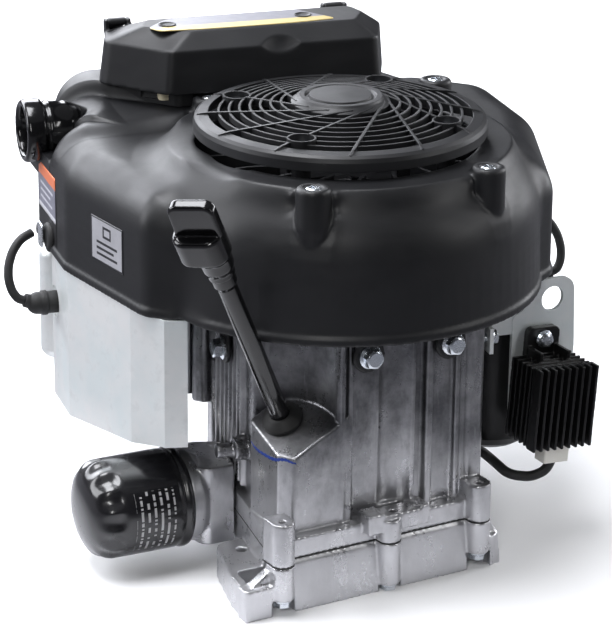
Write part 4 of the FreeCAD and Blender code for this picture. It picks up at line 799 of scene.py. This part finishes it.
def cover_decal():
    """Two-tone trim plate on the flat crown of the air cleaner cover, with a dimple near each end."""
    material = decal_material()
    origin = Vector((0.0, 0.0, COVER_TOP - DECAL_SUNK)) * MM
    mesh = plate_mesh("cover_trim_plate", decal_outline(), origin, RIGHT, BACK, UP, 0.7 * MM)
    piece("cover_trim_plate", mesh, "air_cleaner_cover", "black_plastic", material)
    for side, x, y in DIMPLE_PLACES:
        place = Matrix.Translation(Vector((x, y, COVER_TOP)) * MM)
        name = "cover_dimple_" + side
        mesh = turned_mesh(name, DIMPLE_PROFILE, place, 48)
        piece(name, mesh, "air_cleaner_cover", "black_plastic")


# Blue inspection stroke: its route over the crankcase in mm, and its half width.
MARK_POINTS = ((-91.4, -79.6, 108.6), (-90.6, -84.0, 106.2), (-89.0, -90.5, 105.2), (-87.2, -98.5, 105.6),
               (-85.4, -107.0, 106.2), (-84.0, -114.5, 107.6), (-81.6, -119.5, 109.6), (-78.5, -123.0, 110.2),
               (-75.5, -126.0, 109.4), (-72.0, -128.5, 108.4))
MARK_STEPS = 6
MARK_HALF = 1.25 * MM
# Share of the half width and lift off the casting of each line of points along the stroke.
MARK_SECTION = ((-1.0, 0.02 * MM), (-0.4, 0.28 * MM), (0.4, 0.28 * MM), (1.0, 0.02 * MM))


def paint_mark():
    """Blue inspection stroke across the corner of the dipstick tube's boss."""
    cad = frame["nodes"]["crankcase"]
    surface = BVHTree.FromObject(cad, bpy.context.evaluated_depsgraph_get())
    inward = cad.matrix_world.inverted()
    spots = [Vector(p) * MM for p in MARK_POINTS]
    path = []
    for first, second in zip(spots, spots[1:]):
        path += [first.lerp(second, k / MARK_STEPS) for k in range(MARK_STEPS)]
    verts = []
    for k, spot in enumerate(path):
        half = MARK_HALF * math.sin(math.pi * (k + 1.0) / (len(path) + 1.0)) ** 0.35
        half *= 1.0 + 0.25 * math.sin(k * 1.7)
        for share, lift in MARK_SECTION:
            hit, normal = surface.find_nearest(inward @ (spot + Vector((0.0, 0.0, half * share))))[:2]
            verts.append(cad.matrix_world @ (hit + normal * lift))
    faces = grid_faces(len(path), len(MARK_SECTION))
    ink = plastic("marker_ink", (0.01, 0.03, 0.20), (0.015, 0.05, 0.30), 0.4, 0.05, 0.2 * MM)
    piece("inspection_mark", mesh_of("inspection_mark", verts, faces), "engine", "cast_aluminium", ink)


def lead_grommet():
    """Rubber grommet where the ignition lead enters the housing."""
    place = along(Vector((-190.5, 117.0, 210.0)) * MM, LEFT)
    profile = [(5.0, 0.2), (10.8, 0.2), (11.4, 1.0), (11.4, 3.4), (10.6, 4.6), (9.2, 5.2), (7.4, 5.4),
               (6.4, 4.6), (4.6, 4.4)]
    piece("lead_grommet", turned_mesh("lead_grommet", profile, place, 72), "engine", "rubber")


def lead_clip():
    """Plated clip beside the grommet."""
    outline = rounded_rectangle(13.0, 19.0, 3.0)
    origin = Vector((-196.2, 136.0, 199.0)) * MM
    mesh = plate_mesh("lead_clip", outline, origin, FRONT, UP, LEFT, 1.4 * MM)
    piece("lead_clip", mesh, "engine", "zinc_fastener")


# ---- oil filter ----------------------------------------------------------------------------------
# Profile of the can as (radius, distance from the seat) in mm: rolled seam, straight shell, domed end.
SEAM_PROFILE = ((9.0, 0.4), (20.0, 0.6), (34.0, 0.8), (36.4, 0.2), (37.6, 0.9), (38.0, 2.4), (37.9, 4.6),
                (37.0, 6.0), (36.2, 7.2), (36.6, 8.4), (37.2, 9.6), (37.3, 12.0))
SHELL_PROFILE = tuple((37.3, 12.0 + 2.0 * k) for k in range(1, 25))
DOME_PROFILE = ((36.9, 62.0), (36.0, 65.0), (34.6, 67.6), (32.8, 69.8), (30.2, 72.0), (26.0, 74.2),
                (21.0, 76.0), (15.0, 77.2), (8.0, 77.8), (2.0, 78.0))
FLUTES = 14
FLUTE_DEPTH = 2.0 * MM
FLUTE_FROM = 53.0
FLUTE_INNER = 29.0


def fluted(r, angle, z):
    """Radius of the can with the wrench flutes at its domed end."""
    depth = FLUTE_DEPTH * (0.5 + 0.5 * math.cos(FLUTES * angle)) ** 0.8
    share = fade(z / MM - FLUTE_FROM, 6.0) * fade(r / MM - FLUTE_INNER, 6.0)
    return r - depth * float(share)


def oil_filter():
    """Spin-on can with wrench flutes."""
    profile = SEAM_PROFILE + SHELL_PROFILE + DOME_PROFILE
    mesh = turned_mesh("oil_filter_can", profile, along(CAN_START, CAN_AXIS), 18 * FLUTES, fluted)
    made = piece("oil_filter_can", mesh, "engine", "filter_paint")
    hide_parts("oil_filter")


# ---- air intake ----------------------------------------------------------------------------------
def tray_lip():
    """Thin wall that closes the air cleaner tray where the screw boss bites into it."""
    origin = Vector((-93.0, 132.6, 304.0)) * MM
    mesh = plate_mesh("tray_lip", rounded_rectangle(46.0, 12.5, 1.5), origin, RIGHT, UP, FRONT, 1.0 * MM)
    piece("tray_lip", mesh, "engine", "black_plastic")


# The duct's start on its axis in mm, and its profile from there: taper, band, rolled lip and bore.
DUCT_START = Vector((-151.0, 158.0, 283.0))
DUCT_PROFILE = ((13.0, 1.0), (14.0, 0.4), (19.5, 14.0), (20.8, 17.0), (21.2, 20.0), (21.2, 30.0),
                (22.2, 31.0), (22.2, 33.6), (21.2, 34.6), (21.2, 36.4), (23.6, 37.6), (24.2, 39.4),
                (24.2, 49.6), (23.6, 51.4), (22.4, 52.4), (20.6, 52.5), (19.2, 51.6), (18.6, 49.8),
                (18.2, 38.0), (17.9, 27.0))
CATCH_OFFSET = Vector((-34.0, -29.5, -3.5))


def intake_snout():
    """Mouth of the intake duct, with a small catch on its front."""
    mesh = turned_mesh("intake_snout", DUCT_PROFILE, along(DUCT_START * MM, LEFT), 128)
    made = piece("intake_snout", mesh, "engine", "gloss_black")
    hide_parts("intake_duct")
    origin = (DUCT_START + CATCH_OFFSET) * MM
    mesh = plate_mesh("snout_catch", rounded_rectangle(9.0, 7.0, 1.6), origin, RIGHT, UP, BACK, 8.0 * MM)
    piece("snout_catch", mesh, "engine", "gloss_black")


# ---- light, floor and camera ---------------------------------------------------------------------
# What the engine's surfaces see of the floor: bright close by, dark further out.
STUDIO_NEAR = (0.80, 0.80, 0.82)
STUDIO_FAR = (0.13, 0.13, 0.14)
NEAR_REACH = 0.20
FAR_REACH = 0.40
SHAFT_HOLE = 30.0 * MM
FLOOR_RINGS = ((SHAFT_HOLE, 0.0), (60.0 * MM, 0.0), (0.2, 0.0), (0.6, 0.0), (1.4, 0.0), (3.0, 0.0),
               (5.6, 0.0), (6.2, 0.1), (6.7, 0.4), (6.95, 0.9), (7.0, 1.8), (7.0, 7.0))
FLOOR_SEGMENTS = 64


def floor_material():
    """Pale to the camera, and glowing further out; the engine sees it as a grey studio."""
    material, tree, bsdf, place = start_material("floor", (0.9, 0.9, 0.9))
    cloud = noise(tree, place, 3.0, 2.0)
    pale = mixed(tree, cloud, (0.95, 0.95, 0.95), (0.97, 0.97, 0.97))
    reach = node(tree, "VectorMath", {0: place}, operation="LENGTH").outputs["Value"]
    studio = mixed(tree, ranged(tree, reach, NEAR_REACH, FAR_REACH, 0.0, 1.0), STUDIO_NEAR, STUDIO_FAR)
    seen = node(tree, "LightPath").outputs["Is Camera Ray"]
    tree.links.new(mixed(tree, seen, studio, pale), bsdf.inputs["Base Color"])
    distant = ranged(tree, reach, 1.6, 5.0, 0.0, 0.75)
    tree.links.new(maths(tree, "MULTIPLY", distant, seen), bsdf.inputs["Emission Strength"])
    bsdf.inputs["Emission Color"].default_value = (1.0, 1.0, 1.0, 1.0)
    bsdf.inputs["Roughness"].default_value = 0.75
    bsdf.inputs["Specular IOR Level"].default_value = 0.0
    return material


def floor():
    """Floor with a hole that clears the output shaft, swept up into a round wall."""
    verts = []
    for r, z in FLOOR_RINGS:
        for k in range(FLOOR_SEGMENTS):
            angle = 2.0 * math.pi * k / FLOOR_SEGMENTS
            verts.append((r * math.cos(angle), r * math.sin(angle), z))
    mesh = mesh_of("floor", verts, ring_faces(len(FLOOR_RINGS), FLOOR_SEGMENTS))
    mesh.materials.append(floor_material())
    made = bpy.data.objects.new("floor", mesh)
    bpy.context.scene.collection.objects.link(made)


# Name, place, size, power and colour of each light; all aim at the engine's middle.
AIM = Vector((0.0, 0.0, 0.2))
COOL = (0.95, 0.96, 1.0)
WHITE = (1.0, 1.0, 1.0)
LIGHTS = (
    ("back", (-0.8, 2.5, 1.45), (3.4, 1.5), 120.0, (0.92, 0.94, 1.0)),
    ("top", (-0.6, 0.2, 2.6), (1.6, 1.2), 74.0, COOL),
    ("left", (-2.3, 0.5, 1.3), (1.0, 1.9), 40.0, COOL),
    ("right", (2.2, 0.6, 1.0), (0.7, 1.8), 32.0, COOL),
    ("front_strip", (-1.3, -2.6, 1.7), (0.35, 1.4), 22.0, WHITE),
    ("front_right", (2.0, -1.3, 1.1), (0.3, 1.4), 12.0, WHITE),
)
SKY_COLOUR = (0.93, 0.95, 1.0, 1.0)
SKY_STRENGTH = 0.16


def area_light(name, place, size, power, colour):
    """Rectangular soft light that faces the engine."""
    light = bpy.data.lights.new(name, "AREA")
    light.shape = "RECTANGLE"
    light.size, light.size_y = size
    light.energy = power
    light.color = colour
    made = bpy.data.objects.new(name, light)
    made.location = place
    made.rotation_euler = (AIM - Vector(place)).to_track_quat("-Z", "Y").to_euler()
    bpy.context.scene.collection.objects.link(made)


def lights():
    """Soft studio lights and a dim even sky."""
    for row in LIGHTS:
        area_light(*row)
    world = bpy.data.worlds.new("studio")
    world.use_nodes = True
    sky = world.node_tree.nodes["Background"]
    sky.inputs["Color"].default_value = SKY_COLOUR
    sky.inputs["Strength"].default_value = SKY_STRENGTH
    bpy.context.scene.world = world
    bpy.context.scene.view_settings.view_transform = "Standard"


# The camera looks down at the front from the left; turn, rise and roll in degrees.
CAMERA_PLACE = (-0.67396, -1.99780, 0.95340)
CAMERA_ANGLES = (-18.0, 20.45, 0.6)
CAMERA_LENS = 170.886
SENSOR_WIDTH = 36.0


def camera():
    """Camera for the main picture."""
    turn, rise, roll = (math.radians(a) for a in CAMERA_ANGLES)
    back = Vector((math.sin(turn) * math.cos(rise), -math.cos(turn) * math.cos(rise), math.sin(rise)))
    level = Vector((math.cos(turn), math.sin(turn), 0.0))
    upward = back.cross(level)
    right = level * math.cos(roll) + upward * math.sin(roll)
    up = upward * math.cos(roll) - level * math.sin(roll)
    data = bpy.data.cameras.new("camera")
    data.sensor_width = SENSOR_WIDTH
    data.sensor_fit = "AUTO"
    data.lens = CAMERA_LENS
    made = bpy.data.objects.new("camera", data)
    made.matrix_world = Matrix.Translation(CAMERA_PLACE) @ Matrix((right, up, back)).transposed().to_4x4()
    bpy.context.scene.collection.objects.link(made)
    bpy.context.scene.camera = made


def main():
    dress_frame()
    for name, voxel, passes in SOFT_NODES:
        soften(frame["nodes"][name], voxel, passes)
    housing = blower_housing()
    wall_label(housing)
    end_label(housing)
    cover_decal()
    paint_mark()
    lead_grommet()
    lead_clip()
    oil_filter()
    tray_lip()
    intake_snout()
    floor()
    lights()
    camera()


main()
